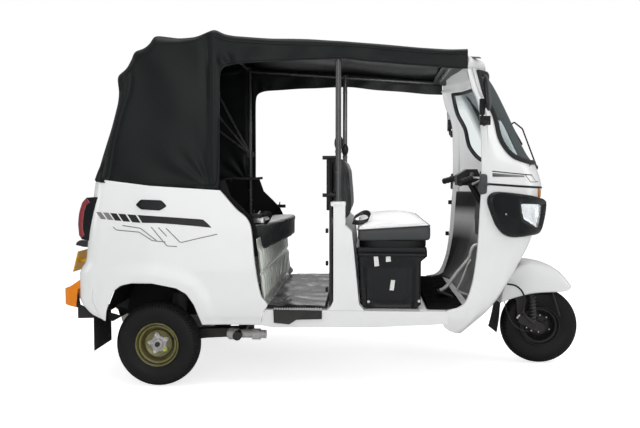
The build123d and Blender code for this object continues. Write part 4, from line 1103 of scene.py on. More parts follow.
black_film = finish_of("black_film", (0.008, 0.008, 0.009), 0.3, patch=6.0, dust=0.1, shine=0.3)
grey_film = finish_of("grey_film", (0.19, 0.19, 0.19), 0.32, patch=6.0)
fading_film = finish_of("fading_film", (0.03, 0.03, 0.03), 0.32)
tree = fading_film.node_tree
stripes = outlet(tree, "TexWave", {"bands_direction": "Z"}, Scale=38.0, Distortion=0.0,
    Vector=place_in(tree))
tone = blend_colour(tree, ramp(tree, place_in(tree, "X"), 0.775, 0.96), (0.006, 0.006, 0.007),
    (0.33, 0.33, 0.33))
shade(tree, Base_Color=blend_colour(tree, stripes, tone, (0.16, 0.16, 0.16)))
# band on the tub: five slashes that thicken forwards, then solid to its pointed tip
slashes = [film(on_tub, [(x0, z0), (x0 + w, z0 - w * 0.07)], [(x0 + 26, z1), (x0 + 26 + w, z1 - w * 0.07)],
    6) for x0, w, z0, z1 in ((-1146, 26, 864, 830), (-1112, 28, 862, 827), (-1076, 32, 859, 823),
    (-1036, 36, 856, 819), (-991, 42, 853, 815))]
band = film(on_tub, [(-940, 850), (-780, 840), (-640, 831), (-618, 829), (-596, 812), (-576, 791)],
    [(-916, 812), (-840, 811), (-760, 806), (-700, 801), (-640, 796), (-576, 790)], 60)
piece("tub_band", [band] + slashes[2:], black_film, away_from=(-0.8, 0, 0.8),
    mirrored=True)
tub_lines = [ribbon(on_tub, line, 4.5, 30) for line in ([(-1059, 792), (-1043, 777), (-930, 767),
    (-865, 726), (-800, 720)], [(-1013, 799), (-924, 786), (-845, 727)],
    [(-871, 792), (-793, 701), (-744, 698)], [(-835, 790), (-794, 747)],
    [(-798, 787), (-730, 720), (-719, 719)], [(-719, 719), (-640, 738), (-547, 759)])]
piece("tub_outlines", tub_lines + slashes[:2], grey_film, away_from=(-0.8, 0, 0.8),
    mirrored=True)
cowl_bars = [film(on_cowl, [(249, 1053), (429, 1041)], [(249, 1035), (429, 1033)], 40)]
piece("cowl_fading_bar", cowl_bars, fading_film, away_from=(0.5, 0, 1.0), mirrored=True)
cowl_lines = [ribbon(on_cowl, [(249, 1062), (340, 1054), (437, 1046), (482, 1043)], 5, 40),
    ribbon(on_cowl, [(437, 1043), (459, 1010), (502, 1009), (480, 1042)], 3.4, 40),
    ribbon(on_cowl, [(500, 1010), (522, 1011)], 3.4, 6)]
piece("cowl_lines", cowl_lines, black_film, away_from=(0.5, 0, 1.0), mirrored=True)
# ---- seats
# Moulded foam in welded vinyl covers: pale tops and dark skirts joined by a piped seam on the
# cushions, plain dark covers on the backrests. Each is let swell as a real cover does over its foam.


def vinyl_of(name, colour, second, seam_z=None, slope=0.0, skirt=None):
    """Cover material: fine leather-like grain over slow dimples; above the seam plane z = seam_z +
    slope x it has the cover's colour, below it the skirt's."""
    material, tree = new_material(name)
    top = blend_colour(tree, used(tree, PATCHES, Scale=9.0), colour, second)
    if skirt:
        over_seam = calc(tree, "ADD", calc(tree, "MULTIPLY_ADD", place_in(tree, "X"), -slope, -seam_z),
            place_in(tree, "Z"))
        top = blend_colour(tree, ramp(tree, over_seam, -0.0006, 0.0006), skirt, top)
    dimples = outlet(tree, "TexNoise", Vector=place_in(tree), Scale=26.0, Detail=2.0)
    low = bumped(tree, dimples, 0.0022, Strength=0.6)
    shade(tree, Base_Color=top, Roughness=ramp(tree, dimples, 0.0, 1.0, 0.34, 0.52),
        Specular_IOR_Level=0.35, Normal=bumped(tree, used(tree, GRAIN, Scale=520.0), 0.00012, Normal=low))
    return material


def stuffed(name, cad, material, voxel, seam=None, cap=0.022, shrink=0.96, pressure=4.0, held="low",
        reshape=None):
    """Cover over foam: the node's form, a little smaller and reshaped, remeshed and blown up as cloth.
    It is held where it rests and along its seam plane (z, slope), and moves no further than cap."""
    mesh = nodes[cad].data.copy()
    mesh.name = name
    merged(mesh, 1e-5)
    points = values_of(mesh.vertices, "co", 3)
    middle = (points.max(0) + points.min(0)) / 2
    half = (points.max(0) - points.min(0)) / 2
    inset = np.minimum(half * (1 - shrink), 0.012)
    points = middle + (points - middle) * (1 - inset / half)
    if reshape:
        points = reshape(points)
    mesh.vertices.foreach_set("co", points.ravel())
    made = placed(name, mesh)
    remesh = made.modifiers.new("foam", "REMESH")
    remesh.mode, remesh.voxel_size = "VOXEL", voxel
    soften = made.modifiers.new("soften", "SMOOTH")
    soften.iterations, soften.factor = 6, 0.5
    settle(made)
    start = values_of(made.data.vertices, "co", 3)
    lowest = start.min(0)
    hold = start[:, 2] < lowest[2] + 0.012 if held == "low" else start[:, 0] < lowest[0] + 0.012
    if seam:
        hold |= np.abs(start[:, 2] - seam[0] - seam[1] * start[:, 0]) < 0.006
    group = made.vertex_groups.new(name="held")
    group.add(np.flatnonzero(hold).tolist(), 1.0, "REPLACE")
    cloth = made.modifiers.new("cover", "CLOTH")
    for key, value in dict(vertex_group_mass="held", use_pressure=True, uniform_pressure_force=pressure,
            quality=4, tension_stiffness=24, compression_stiffness=24, bending_stiffness=1.6).items():
        setattr(cloth.settings, key, value)
    cloth.settings.effector_weights.gravity = 0
    cloth.point_cache.frame_start, cloth.point_cache.frame_end = 1, 20
    for moment in range(1, 21):
        bpy.context.scene.frame_set(moment)
    settle(made)
    bpy.context.scene.frame_set(1)
    made.vertex_groups.clear()
    blown = values_of(made.data.vertices, "co", 3)
    move = blown - start
    size = np.linalg.norm(move, axis=1, keepdims=True)
    blown = start + move * np.minimum(1, cap / np.maximum(size, 1e-9))
    if seam:
        near = blown[:, 2] - seam[0] - seam[1] * blown[:, 0]
        pinch = np.exp(-(near / 0.007) ** 2)[:, None]
        blown = blown - pinch * 0.0035 * unit((blown - middle) * (1, 1, 0))
    made.data.vertices.foreach_set("co", blown.ravel())
    made.data.update()
    made.data.materials.clear()
    made.data.materials.append(material)
    made.data.shade_smooth()
    finer = made.modifiers.new("finer", "SUBSURF")
    finer.levels = finer.render_levels = 1
    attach(made, "body")
    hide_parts(cad)
    return made


def settle(made):
    """Applies all of an object's modifiers to its mesh."""
    shape = made.evaluated_get(bpy.context.evaluated_depsgraph_get())
    mesh = bpy.data.meshes.new_from_object(shape)
    made.modifiers.clear()
    made.data = mesh


def seam_path(made, seam, centre, count=240, out=0.0015):
    """Line round a cushion at its seam plane, where rays from outside towards the middle first meet
    the cover."""
    tree = BVHTree.FromPolygons([v.co for v in made.data.vertices],
        [p.vertices for p in made.data.polygons])
    low, high = values_of(made.data.vertices, "co", 3).min(0), values_of(made.data.vertices, "co", 3).max(0)
    goal = outline([(1000 * x, 1000 * y) for x, y in ((low[0], low[1]), (high[0], low[1]),
        (high[0], high[1]), (low[0], high[1]))], count, 1)
    path = []
    for x, y in goal:
        aim = Vector((centre[0] + 0.15 * (x - centre[0]), centre[1] + 0.85 * (y - centre[1]), 0))
        begin = Vector((x, y, 0)) + (Vector((x, y, 0)) - aim) * 0.5
        begin.z = aim.z = seam[0] + seam[1] * x
        hit = tree.ray_cast(begin, (aim - begin).normalized())[0]
        if hit:
            hit.z = seam[0] + seam[1] * hit.x
            path.append(hit + (begin - aim).normalized() * out)
    return np.array(path)


PALE, PALE_2, SKIRT = (0.86, 0.87, 0.86), (0.8, 0.81, 0.8), (0.042, 0.046, 0.047)
DRIVER_SEAM, BENCH_SEAM = (0.7655, 0.065), (0.856, 0.175)


def driver_shape(points):
    """The driver's cushion stands on its pan: its lowest point is raised to 0.720 m."""
    x, z = points[:, 0], points[:, 2]
    top = np.interp(x, [0.12, 0.42, 0.48], [0.765, 0.788, 0.752])
    low = np.interp(x, [0.12, 0.48], [0.664, 0.69])
    share = held((z - low) / np.maximum(top - low, 1e-3))
    top = np.interp(x, [0.12, 0.25, 0.42, 0.485], [0.794, 0.808, 0.816, 0.812])
    return xyz(x + 0.012 * (x > 0.45), points[:, 1], 0.72 + share * (top - 0.72))


def bench_shape(points):
    """The bench's cushion is tilted back: its top rises forwards by 0.175, its underside by 0.3."""
    share = (points[:, 2] - 0.648) / 0.14
    low = np.maximum(0.768 + 0.27 * points[:, 0], 0.65)
    top = 0.864 + 0.175 * points[:, 0]
    x = points[:, 0] + 0.022 * held((points[:, 0] + 0.5) / 0.15)
    return xyz(x, points[:, 1], low + share * (top - low))


def back_shape(points):
    """The driver's backrest is thinner than its stand-in, by a quarter from its back face."""
    return points * (0.84, 1, 1) + (-0.002, 0, 0)


driver_vinyl = vinyl_of("driver_cushion_vinyl", PALE, PALE_2, *DRIVER_SEAM, skirt=SKIRT)
bench_vinyl = vinyl_of("bench_cushion_vinyl", PALE, PALE_2, *BENCH_SEAM, skirt=SKIRT)
dark_vinyl = vinyl_of("backrest_vinyl", (0.022, 0.024, 0.025), (0.03, 0.033, 0.034))
driver_cushion = stuffed("driver_cushion_cover", "driver_cushion", driver_vinyl, 0.0085,
    DRIVER_SEAM, reshape=driver_shape, cap=0.014)
bench_cushion = stuffed("bench_cushion_cover", "passenger_cushion", bench_vinyl, 0.0095,
    BENCH_SEAM, reshape=bench_shape, cap=0.016)
stuffed("driver_backrest_cover", "driver_backrest", dark_vinyl, 0.008, cap=0.007, held="back",
    reshape=back_shape)
stuffed("bench_backrest_cover", "passenger_backrest", dark_vinyl, 0.0095, cap=0.016,
    held="back")
pipings = [tube(seam_path(driver_cushion, DRIVER_SEAM, (0.3, 0.0)), 0.0035, 8, closed=True),
    tube(seam_path(bench_cushion, BENCH_SEAM, (-0.55, 0.0)), 0.0035, 8, closed=True)]
piece("cushion_piping", pipings, dark_vinyl)
# ---- driver's seat box and pans
# The box under the driver's seat is one black moulding with a lipped rim and a sunk panel in each
# side, screwed to the sill. A dark board carries each cushion, set in from its skirt.
BOX_FRONT = mm([(388, 415), (410, 437), (621, 437), (646, 466), (672, 466), (690, 462)])   # z, x
BOX_BACK = mm([(388, 165), (411, 141), (640, 128), (664, 122), (690, 121)])
BOX_HALF = 0.552
GROOVE = mm([(170, 614), (180, 500), (191, 432), (204, 408), (226, 401), (300, 402), (386, 404), (392, 430),
    (393, 520), (394, 616)])
vertical, across = fill(90, 90)
z = 0.388 + 0.302 * vertical
x = eased(z, BOX_BACK[:, 0], BOX_BACK[:, 1]) * (1 - across) + across * np.interp(z, BOX_FRONT[:, 0],
    BOX_FRONT[:, 1])
off_line = distance_to(GROOVE, x, z)
low_part = held((0.64 - z) / 0.05)
inside = (x > 0.172) & (x < 0.394) & (z > 0.402)
relief = -0.01 * np.exp(-(off_line / 0.014) ** 2) * low_part - 0.009 * inside * held(off_line
    / 0.018) * low_part
lip = 0.007 * held((z - 0.643) / 0.01) - 0.007 * bell(z - 0.664, 0.0045)
round_foot = -0.01 * held(1 - vertical / 0.03) ** 2
edge_in = np.minimum(across, 1 - across)
corner = -0.012 * held(1 - edge_in / 0.035) ** 2
flank = xyz(x, -(BOX_HALF + relief + lip + round_foot + corner), z)
front_wall = np.concatenate([flank[:, -1:, :], flank[:, -1:, :] * (1, -1, 1)], 1)
back_wall = np.concatenate([flank[:, :1, :], flank[:, :1, :] * (1, -1, 1)], 1)
top_wall = np.stack([flank[-1], flank[-1] * (1, -1, 1)], 0)
piece("driver_seat_box_form", [flank, flank * (1, -1, 1), front_wall, back_wall, top_wall], gloss_black,
    away_from=(0.29, 0, 0.54), crease=32, stands_for="driver_seat_box")


def on_box(x, z, lift=0.0):
    """Point of the seat box's right side."""
    return xyz(x, -(BOX_HALF - 0.004 + lift), z)


def slab(plan, low, high, count=120, rounding=3, round_by=0.004):
    """Flat board: a rounded outline in plan, mm, between two heights, its edges rounded."""
    loop = outline(plan, count, rounding)
    centre = loop.mean(0)
    rows = [(0.0, low), (1 - round_by / 0.2, low), (1.0, low + round_by), (1.0, high - round_by),
        (1 - round_by / 0.2, high), (0.0, high)]
    return np.stack([np.concatenate([centre + share * (loop - centre), np.full((count, 1), height)], 1)
        for share, height in rows]), "columns"


pans = [slab([(134, -545), (470, -545), (470, 545), (134, 545)], 0.686, 0.726),
    slab([(-810, -515), (-420, -515), (-360, -400), (-300, -200), (-290, 0), (-300, 200), (-360, 400),
    (-420, 515), (-810, 515)], 0.715, 0.75, rounding=4)]
piece("seat_pans", pans, dull_black, crease=40)
tape = finish_of("white_tape", (0.78, 0.78, 0.76), 0.5, patch=30.0)
tapes = [film(on_box, [(206, 645), (227, 647)], [(210, 597), (233, 600)], 6, 0.0065),
    film(on_box, [(265, 645), (287, 652)], [(266, 620), (290, 622)], 6, 0.0065),
    film(on_box, [(291, 531), (311, 530)], [(284, 481), (304, 479)], 6, 0.0035)]
piece("tape_pieces", tapes, tape, away_from=(0.29, 0, 0.54))
box_screws = [on_box(x, z) for x, z in mm([(182, 423), (428, 428)])]
piece("seat_box_screws", [nut(c, -1.0, 0.008, 0.006) for c in box_screws], zinc, crease=30,
    mirrored=True)
# lap belt left lying on each seat: black webbing over a buckle
web = np.array([(0.108, -0.42, 0.83), (0.15, -0.4, 0.855), (0.178, -0.37, 0.852), (0.192, -0.35, 0.832),
    (0.176, -0.36, 0.806), (0.13, -0.38, 0.797), (0.1, -0.4, 0.805)])
web = resampled(web, 60, 3)
across_web = np.linspace(-0.014, 0.014, 6)[None, :, None] * np.array([0.35, 1.0, 0.75])
belt = web[:, None] + across_web
bench_web = web + (-0.505, -0.04, -0.004)
piece("lap_belts", [belt, bench_web[:, None] + across_web], dull_black, away_from=(0, 0, 0.83),
    wall=0.0025)
piece("belt_buckles", [slab([(-398, -480), (-340, -480), (-340, -440), (-398, -440)], 0.804, 0.826, 40, 2),
    tube([(-0.385, -0.455, 0.826), (-0.378, -0.452, 0.846), (-0.366, -0.45, 0.862)], 0.004, 8)], zinc,
    crease=40)

# ---- floor, bulkheads and posts
# The bench stands on a ribbed, pale green pressed bulkhead. The pressed floor carries a rubber mat
# still under its glossy clear film, which has crumpled.
green = finish_of("bulkhead_green", (0.88, 0.93, 0.85), 0.16, second=(0.8, 0.85, 0.78), patch=5.0,
    dust=0.15, Coat_Weight=0.5, Coat_Roughness=0.06)
up, along = fill(70, 220)
y = -0.62 + 1.24 * along
z = 0.39 + (0.735 - 0.39) * up
rib = held(1.6 * np.cos(2 * pi * y / 0.078))
rib_span = held((up - 0.1) / 0.06) * held((0.86 - up) / 0.06)
cross_rib = bell(up - 0.5, 0.035) * 2.0 * rib
x = -0.33 - 0.03 * up + 0.011 * rib * rib_span - 0.0055 * cross_rib * rib_span
dents = 0.0016 * np.sin(41 * y + 9 * z) * np.sin(53 * z + 11 * y)
piece("bench_bulkhead", [xyz(x + dents, np.clip(y, -0.618, 0.618), z)], green,
    away_from=(-0.8, 0, 0.5), wall=0.0015, crease=60, stands_for="bench_panel")

mat_black = finish_of("floor_mat_rubber", (0.016, 0.016, 0.018), 0.42, second=(0.028, 0.028, 0.03),
    patch=12.0, grain=300.0, depth=0.3, dust=0.5, dust_colour=(0.12, 0.115, 0.1))
film_gloss = finish_of("clear_film", (0.016, 0.016, 0.019), 0.16, second=(0.03, 0.03, 0.034), patch=9.0,
    rough_to=0.34, shine=0.22)


def crumpled(low, high, z, size, seed):
    """Sheet lying crumpled on the floor: plane waves of several lengths and turns, folded by taking
    the absolute value of each, which gives sharp ridges between soft hollows."""
    up, along = fill(*size)
    x, y = low[0] + (high[0] - low[0]) * up, low[1] + (high[1] - low[1]) * along
    turn = np.random.RandomState(seed)
    height = 0 * x
    for k in range(9):
        angle, wave, phase = turn.uniform(0, pi), turn.uniform(14, 46), turn.uniform(0, 6)
        bend = phase + 1.3 * np.sin(9 * x + phase) + 1.1 * np.sin(7 * y + 2 * phase)
        height += 0.055 / wave * np.abs(np.sin(0.5 * wave * (x * cos(angle) + y * sin(angle)) + bend))
    edge = np.minimum(np.minimum(up, 1 - up), np.minimum(along, 1 - along))
    return xyz(x, y, z + height * np.clip(edge / 0.03, 0.15, 1))


# painted shade: the film in the driver's footwell is a darker copy of the floor film's finish, without its
# sheen
front_film_painted_shade = finish_of("front_mat_black", (0.007, 0.007, 0.0075), 0.7, second=(0.014, 0.014, 0.014),
    patch=20.0, shine=0.0)
piece("front_floor_film", [crumpled((0.466, -0.57), (0.65, 0.57), 0.3915, (80, 220), 9)], front_film_painted_shade,
    away_from=(0, 0, 0), crease=80)
piece("floor_film", [crumpled((-0.322, -0.596), (-0.022, 0.596), 0.3915, (120, 220), 4)], film_gloss,
    away_from=(0, 0, 0), crease=80)
# ---- front guard, flap and suspension
# The front guard is a crowned shell over the wheel, turning with it. Behind it hangs a rubber flap; a
# brake hose and a speedometer cable loop down beside the spring.
def dressed(finish, *names, bevel=0.0):
    """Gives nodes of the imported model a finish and, where bevel is set, edges rounded by that much."""
    for name in names:
        nodes[name].data.materials.clear()
        nodes[name].data.materials.append(finish)
        if bevel:
            edge = nodes[name].modifiers.new("edge", "BEVEL")
            edge.width, edge.segments, edge.limit_method, edge.angle_limit = bevel, 3, "ANGLE", radians(40)
            edge.use_clamp_overlap = True


def bowed(value, power):
    """Power of a value's size, its sign kept: turns a circle's cosines into a squarer outline's."""
    return np.sign(value) * np.abs(value) ** power


def box_form(low, high, corner=0.003, steps=6):
    """Block between two corners with rounded vertical edges and softened ends."""
    low, high = np.array(low, float), np.array(high, float)
    half, middle = (high - low)[:2] / 2, (high + low)[:2] / 2
    a = circle(4 * steps) + pi / (4 * steps)
    square = bowed(np.stack([np.cos(a), np.sin(a)], -1), 0.25)
    rows = [(0 * half, low[2]), (half - 0.3 * corner, low[2]), (half, low[2] + corner),
        (half, high[2] - corner), (half - 0.3 * corner, high[2]), (0 * half, high[2])]
    return np.stack([np.concatenate([middle + square * size, np.full((len(a), 1), height)], 1) for size,
        height in rows]), "columns"


GUARD_TOP = mm([(903, 347), (912, 400), (928, 450), (955, 505), (995, 546), (1043, 562), (1086, 557),
    (1130, 547), (1171, 531), (1217, 503), (1242, 476), (1267, 447), (1278, 431)])
GUARD_LOW = mm([(901, 345), (905, 347), (915, 351), (928, 356), (960, 368), (1000, 381), (1071, 399),
    (1120, 404), (1202, 408), (1230, 410), (1259, 413), (1270, 421), (1277, 429)])
top, low = resampled(GUARD_TOP, 90, 2)[:, None], resampled(GUARD_LOW, 90, 2)[:, None]
v = np.linspace(0, 1, 30)[None, :, None]
side = low + (top - low) * held(v / 0.45)
w = held((v - 0.45) / 0.55)
away = unit(top - (1.1, 0.3))
xz = side + away * 0.018 * (1 - (1 - w) ** 2.4)
lip = 0.003 * bell(v - 0.03, 0.03)
y = -(0.1 * (1 - w ** 1.15) + lip + 0.004 * np.sin(pi * held(v / 0.45)) * (v < 0.45))
half = xyz(xz[..., 0], y[..., 0], xz[..., 1])
piece("front_guard_form", [half, half * (1, -1, 1)], white_enamel, "steering",
    away_from=(1.1, 0, 0.3), wall=0.003, crease=50, stands_for="front_mudguard")

flap_black = finish_of("moulded_rubber", (0.0075, 0.0075, 0.008), 0.66, second=(0.013, 0.0125, 0.012),
    patch=16.0, grain=900.0, depth=0.12, dust=0.4, dust_colour=(0.1, 0.095, 0.085), shine=0.2)
up, along = fill(40, 34)
y = -0.085 + 0.17 * along
curl = (1 - up) ** 1.5
x = 0.902 - 0.016 * curl - 0.022 * curl * along + 0.004 * np.sin(9 * y + 4 * up) * curl
ribs = 0.0012 * held(np.cos(2 * pi * y / 0.017)) ** 2 * (up > 0.12) * (up < 0.8)
piece("front_flap_form", [xyz(x - ribs, y, 0.18 + 0.18 * up)], flap_black, "steering",
    away_from=(1.2, 0, 0.3), wall=0.003, stands_for="front_mud_flap")

hose_rubber = finish_of("hose_rubber", (0.01, 0.01, 0.01), 0.5, patch=30.0, grain=1500.0, depth=0.1,
    dust=0.3, shine=0.25)
hose_line = mm([(932, -102, 452), (938, -122, 451), (959, -127, 450), (979, -128, 445), (1003, -127, 427),
    (1017, -125, 407), (1026, -124, 384), (1029, -123, 360), (1026, -122, 330), (1015, -120, 301),
    (1000, -117, 281)])
hose_line = resampled(hose_line, 90, 3)
hose = piece("brake_hose", [tube(hose_line, 0.0045, 12)], hose_rubber, "steering")
ends = [tube([hose_line[-3], hose_line[-1], hose_line[-1] + (hose_line[-1] - hose_line[-8])], 0.0062, 12),
    tube([hose_line[0] - (0.01, -0.012, 0), hose_line[0], hose_line[3]], 0.0062, 12)]
piece("brake_hose_ends", ends, zinc, "steering", crease=50)
cable_line = mm([(921, -104, 356), (924, -122, 342), (929, -126, 312), (941, -127, 279), (962, -127, 240),
    (987, -125, 216), (1020, -119, 200), (1058, -98, 190)])
cable_line = resampled(cable_line, 80, 3)
cable = piece("speed_cable", [tube(cable_line, 0.0022, 10)], hose_rubber, "steering")

spring_steel = finish_of("spring_enamel", (0.02, 0.02, 0.021), 0.35, second=(0.035, 0.034, 0.032),
    patch=20.0, dust=0.3, shine=0.4)


def coil(x, y, low, high, radius, wire_radius, turns, lean=0.0, steps=34):
    """Coil spring round an axis from (x, low) to (x + lean, high): a helix."""
    t = np.linspace(0, 1, int(turns * steps))
    angle = 2 * pi * turns * t
    return tube(xyz(x + lean * t + radius * np.cos(angle), y + radius * np.sin(angle),
        low + (high - low) * t), wire_radius, 8)


piece("front_springs", [coil(1.0795, -0.079, 0.232, 0.386, 0.0165, 0.0034, 8.5)], spring_steel,
    "steering", mirrored=True)
gear_black = finish_of("chassis_paint", (0.011, 0.011, 0.0115), 0.44, second=(0.019, 0.0185, 0.018),
    patch=10.0, grain=500.0, depth=0.12, dust=0.45, dust_colour=(0.11, 0.1, 0.085), shine=0.25)
piece("fork_links", [tube([(1.184, -0.09, 0.401), (1.19, -0.092, 0.38), (1.223, -0.092, 0.275)], 0.005, 10),
    tube([(1.02, -0.095, 0.3), (1.06, -0.096, 0.25), (1.1, -0.096, 0.222)], 0.006, 10)], gear_black,
    "steering", mirrored=True)
dressed(gear_black, "front_fork", "front_shocks")
grip_rubber = finish_of("handlebar_black", (0.009, 0.009, 0.0095), 0.48, second=(0.014, 0.014, 0.014),
    patch=15.0, grain=1100.0, depth=0.15, dust=0.15, shine=0.3)
dressed(grip_rubber, "handlebar")
levers = []
for side in (-1, 1):
    lever = np.array([(0.716, side * 0.265, 1.03), (0.76, side * 0.275, 1.028), (0.755, side * 0.33, 1.018),
        (0.715, side * 0.4, 1.002), (0.7, side * 0.41, 0.998)])
    levers.append(tube(resampled(lever, 40, 3), 0.0055, 10))
piece("hand_levers", levers, cast_grey, "steering")
grip_rings = [tube([(0.64 + 0.062 * t, s * (0.385 - 0.065 * t), 1.003 + 0.019 * t),
    (0.642 + 0.062 * t, s * (0.3835 - 0.065 * t), 1.0035 + 0.019 * t)], 0.0186, 16) for s in (-1, 1)
    for t in (0.05, 0.35, 0.65, 0.95)]
piece("grip_rings", grip_rings, grip_rubber, "steering")

# ---- mirrors and wiper
# A slim mirror on a bent stalk is clamped to each screen pillar, its glass facing back.
mirror_glass = finish_of("mirror_glass", (0.82, 0.84, 0.85), 0.02, second=(0.8, 0.82, 0.83), patch=3.0,
    rough_to=0.04, Metallic=1.0)
a, s = circle(90)[:, None], np.linspace(0, 1, 14)[None, :]
wide, high = 0.056 * bowed(np.cos(a), 0.72), 0.082 * bowed(np.sin(a), 0.72)


def mirror_sheet(share, bulge):
    """Face of the mirror head: its outline shrunk by share, bulged forwards, leaning with height."""
    z = 1.42 + high * share
    y = -0.705 + wide * share + 0.06 * (z - 1.42)
    return xyz(0.726 - 0.1 * (z - 1.34) + bulge + 0.34 * (y + 0.705), y, z)


head = mirror_sheet(np.sqrt(s), 0.015 * np.sqrt(held(1 - s ** 2)))
rim = mirror_sheet(1 - 0.1 * s, -0.004 * np.sin(pi * s / 2))
glass_face = mirror_sheet(0.9 * s, -0.0025)
piece("mirror_heads", [(head, "rows"), (rim, "rows")], gloss_black, mirrored=True,
    stands_for="mirrors")
piece("mirror_faces", [(glass_face, "rows")], mirror_glass, away_from=(1.6, 0, 1.42),
    mirrored=True)
stalk = np.array([(0.722, -0.6, 1.28), (0.741, -0.64, 1.29), (0.716, -0.652, 1.29), (0.703, -0.664, 1.3),
    (0.705, -0.68, 1.335), (0.722, -0.7, 1.385)])
piece("mirror_stalks", [tube(resampled(stalk, 50, 2), 0.0058, 12),
    box_form((0.702, -0.622, 1.28), (0.752, -0.592, 1.322)),
    box_form((0.69, -0.69, 1.322), (0.714, -0.664, 1.396))], dull_black, mirrored=True,
    crease=40)
dressed(dull_black, "wiper")

# ---- apron, dash and pedal
# Inside the nose a moulded apron runs from the floor up to the screen: grey, with painted shade that
# darkens it to black
# # near the floor and again near its top under the dash, with a raised middle pad. The brake pedal hangs
# from it on a bent steel lever.
APRON = mm([(700, 390), (756, 470), (800, 600), (830, 740), (862, 860), (905, 1000), (960, 1090),
    (1020, 1118)])


def cowl_half(x, z):
    """Half width inside the cowl at each x and z."""
    found = []
    u = np.linspace(0, NOSE, 240)
    for x_one, z_one in zip(x, z):
        line = cowl_at(u, z_one)
        found.append(np.interp(x_one, np.maximum.accumulate(line[:, 0]), np.abs(line[:, 1])))
    return np.array(found)


line = resampled(APRON, 70, 2)
half = np.minimum(cowl_half(line[:, 0] - 0.02, line[:, 1]) - 0.016, 0.6)[:, None]
s = np.linspace(-1, 1, 110)[None, :]
y = half * s
pad = held((0.385 - np.abs(y)) / 0.012) * held((0.79 - line[:, 1:2]) / 0.012)
groove = bell(np.abs(y) - 0.392, 0.008) * held((0.8 - line[:, 1:2]) / 0.02)
x = line[:, :1] - 0.05 * np.abs(s) ** 7 * (line[:, 1:2] < 1.08) - 0.01 * pad + 0.007 * groove
apron_with_painted_shade = finish_of("apron_plastic", (0.45, 0.455, 0.45), 0.4, grain=700.0, depth=0.1, shine=0.3)
tree = apron_with_painted_shade.node_tree
height = place_in(tree, "Z")
# painted shade: the grey goes to black from 0.76 m down to 0.64 m, and again from 0.79 m up to 0.85 m under
# the dash
tone = blend_colour(tree, ramp(tree, height, 0.64, 0.76), (0.024, 0.025, 0.023), (0.46, 0.465, 0.46))
tone = blend_colour(tree, ramp(tree, height, 0.79, 0.85), tone, (0.018, 0.019, 0.019))
shade(tree, Base_Color=blend_colour(tree, used(tree, DUST, Amount=0.2), tone, (0.16, 0.15, 0.13)))
sheet = xyz(x, y, line[:, 1:2])
rows = sheet[line[:, 1] < 0.945][:, 0]
reach = np.linspace(0, 1, 24)[None, :]
wall_x = rows[:, :1] + reach * (door_front_x(rows[:, 2])[:, None] + 0.004 - rows[:, :1])
wall_y = np.stack([cowl_half(wall_x[:, k], rows[:, 2]) for k in range(24)], 1)
wall_y = -(wall_y - 0.016) * reach ** 0.3 + rows[:, 1:2] * (1 - reach ** 0.3)
wall = xyz(wall_x, wall_y, rows[:, 2:])
piece("inner_apron_form", [sheet, wall, wall * (1, -1, 1)], apron_with_painted_shade,
    away_from=(1.6, 0, 0.8), wall=0.003, offset=0, crease=50, stands_for="inner_apron")
dressed(dull_black, "dash_panel", bevel=0.004)
dial = turned((0.835, 0.0, 1.0), mm([(46, 0), (50, 3), (50, 12), (46, 15), (44, 12), (43, 7), (0, 7)]),
    48)[0]
dial = xyz(0.88 - dial[..., 1], dial[..., 0] - 0.835, dial[..., 2])
piece("dial_rim", [(dial, "rows")], bright, crease=40)
pedal = mm([(800, -250, 676), (735, -250, 678), (720, -250, 655), (714, -250, 610), (649, -250, 533),
    (590, -250, 450), (560, -250, 434)])
pedal = resampled(pedal, 70, 3)
rod = resampled(mm([(716, -270, 600), (703, -275, 585), (664, -280, 483), (640, -282, 440),
    (700, -284, 418)]), 40, 2)
pedal_steel = finish_of("pedal_steel", (0.62, 0.62, 0.6), 0.34, second=(0.45, 0.45, 0.43), patch=30.0,
    dust=0.2, Metallic=0.2)
piece("pedal_lever", [tube(pedal, 0.0095, 12), tube(rod, 0.0055, 10)], pedal_steel, crease=40,
    stands_for="brake_pedal")
up, along = fill(20, 20)
tread = 0.0018 * held(np.cos(2 * pi * up / 0.16))
plate = xyz(0.548 + 0.098 * up, -0.292 + 0.084 * along, 0.436 - 0.04 * up + tread)
piece("pedal_pad", [plate], flap_black, away_from=(0.6, -0.25, 0.2), wall=0.008)
latches = [box_form((x - 0.012, 0.588, z - 0.012), (x + 0.01, 0.606, z + 0.014)) for x,
    z in ((0.703, 0.866), (0.687, 0.667), (0.71, 1.019), (0.7, 1.345))]
piece("doorway_studs", latches, dull_black, crease=40)
# ---- posts, poles and rails
# White posts stand between driver and passengers, each with a capped socket that takes a dark steel
# pole of the hood frame; the rails behind the driver carry a pad. Trims line the doorways.
dressed(white_enamel, "middle_posts", bevel=0.004)
dressed(white_enamel, "floor_pan", "rear_lid")
pole_steel = finish_of("pole_enamel", (0.055, 0.057, 0.058), 0.24, second=(0.08, 0.082, 0.083), patch=6.0,
    dust=0.15, shine=0.6, Metallic=0.35)
dressed(pole_steel, "hood_frame")
dressed(gear_black, "grab_rail")
partition_black = finish_of("partition_board", (0.014, 0.0145, 0.015), 0.34, second=(0.024, 0.025, 0.025),
    patch=5.0, grain=260.0, depth=0.5, dust=0.2, shine=0.3)
dressed(partition_black, "partition")
trim_black = finish_of("doorway_trim", (0.006, 0.006, 0.0065), 0.58, second=(0.01, 0.01, 0.01), patch=8.0,
    grain=900.0, depth=0.1, shine=0.12)
dressed(trim_black, "inner_trims", "arch_liners")
dressed(mat_black, "floor_mat")
step_black = finish_of("step_plastic", (0.013, 0.0135, 0.014), 0.42, second=(0.022, 0.022, 0.022),
    patch=14.0, grain=420.0, depth=0.3, dust=0.3, shine=0.25)
dressed(step_black, "step_plates", bevel=0.002)
a = circle(64)[:, None]
cap_r = np.array([0.0, 0.7, 0.96, 1.0, 1.0, 0.97, 0.8])[None, :]
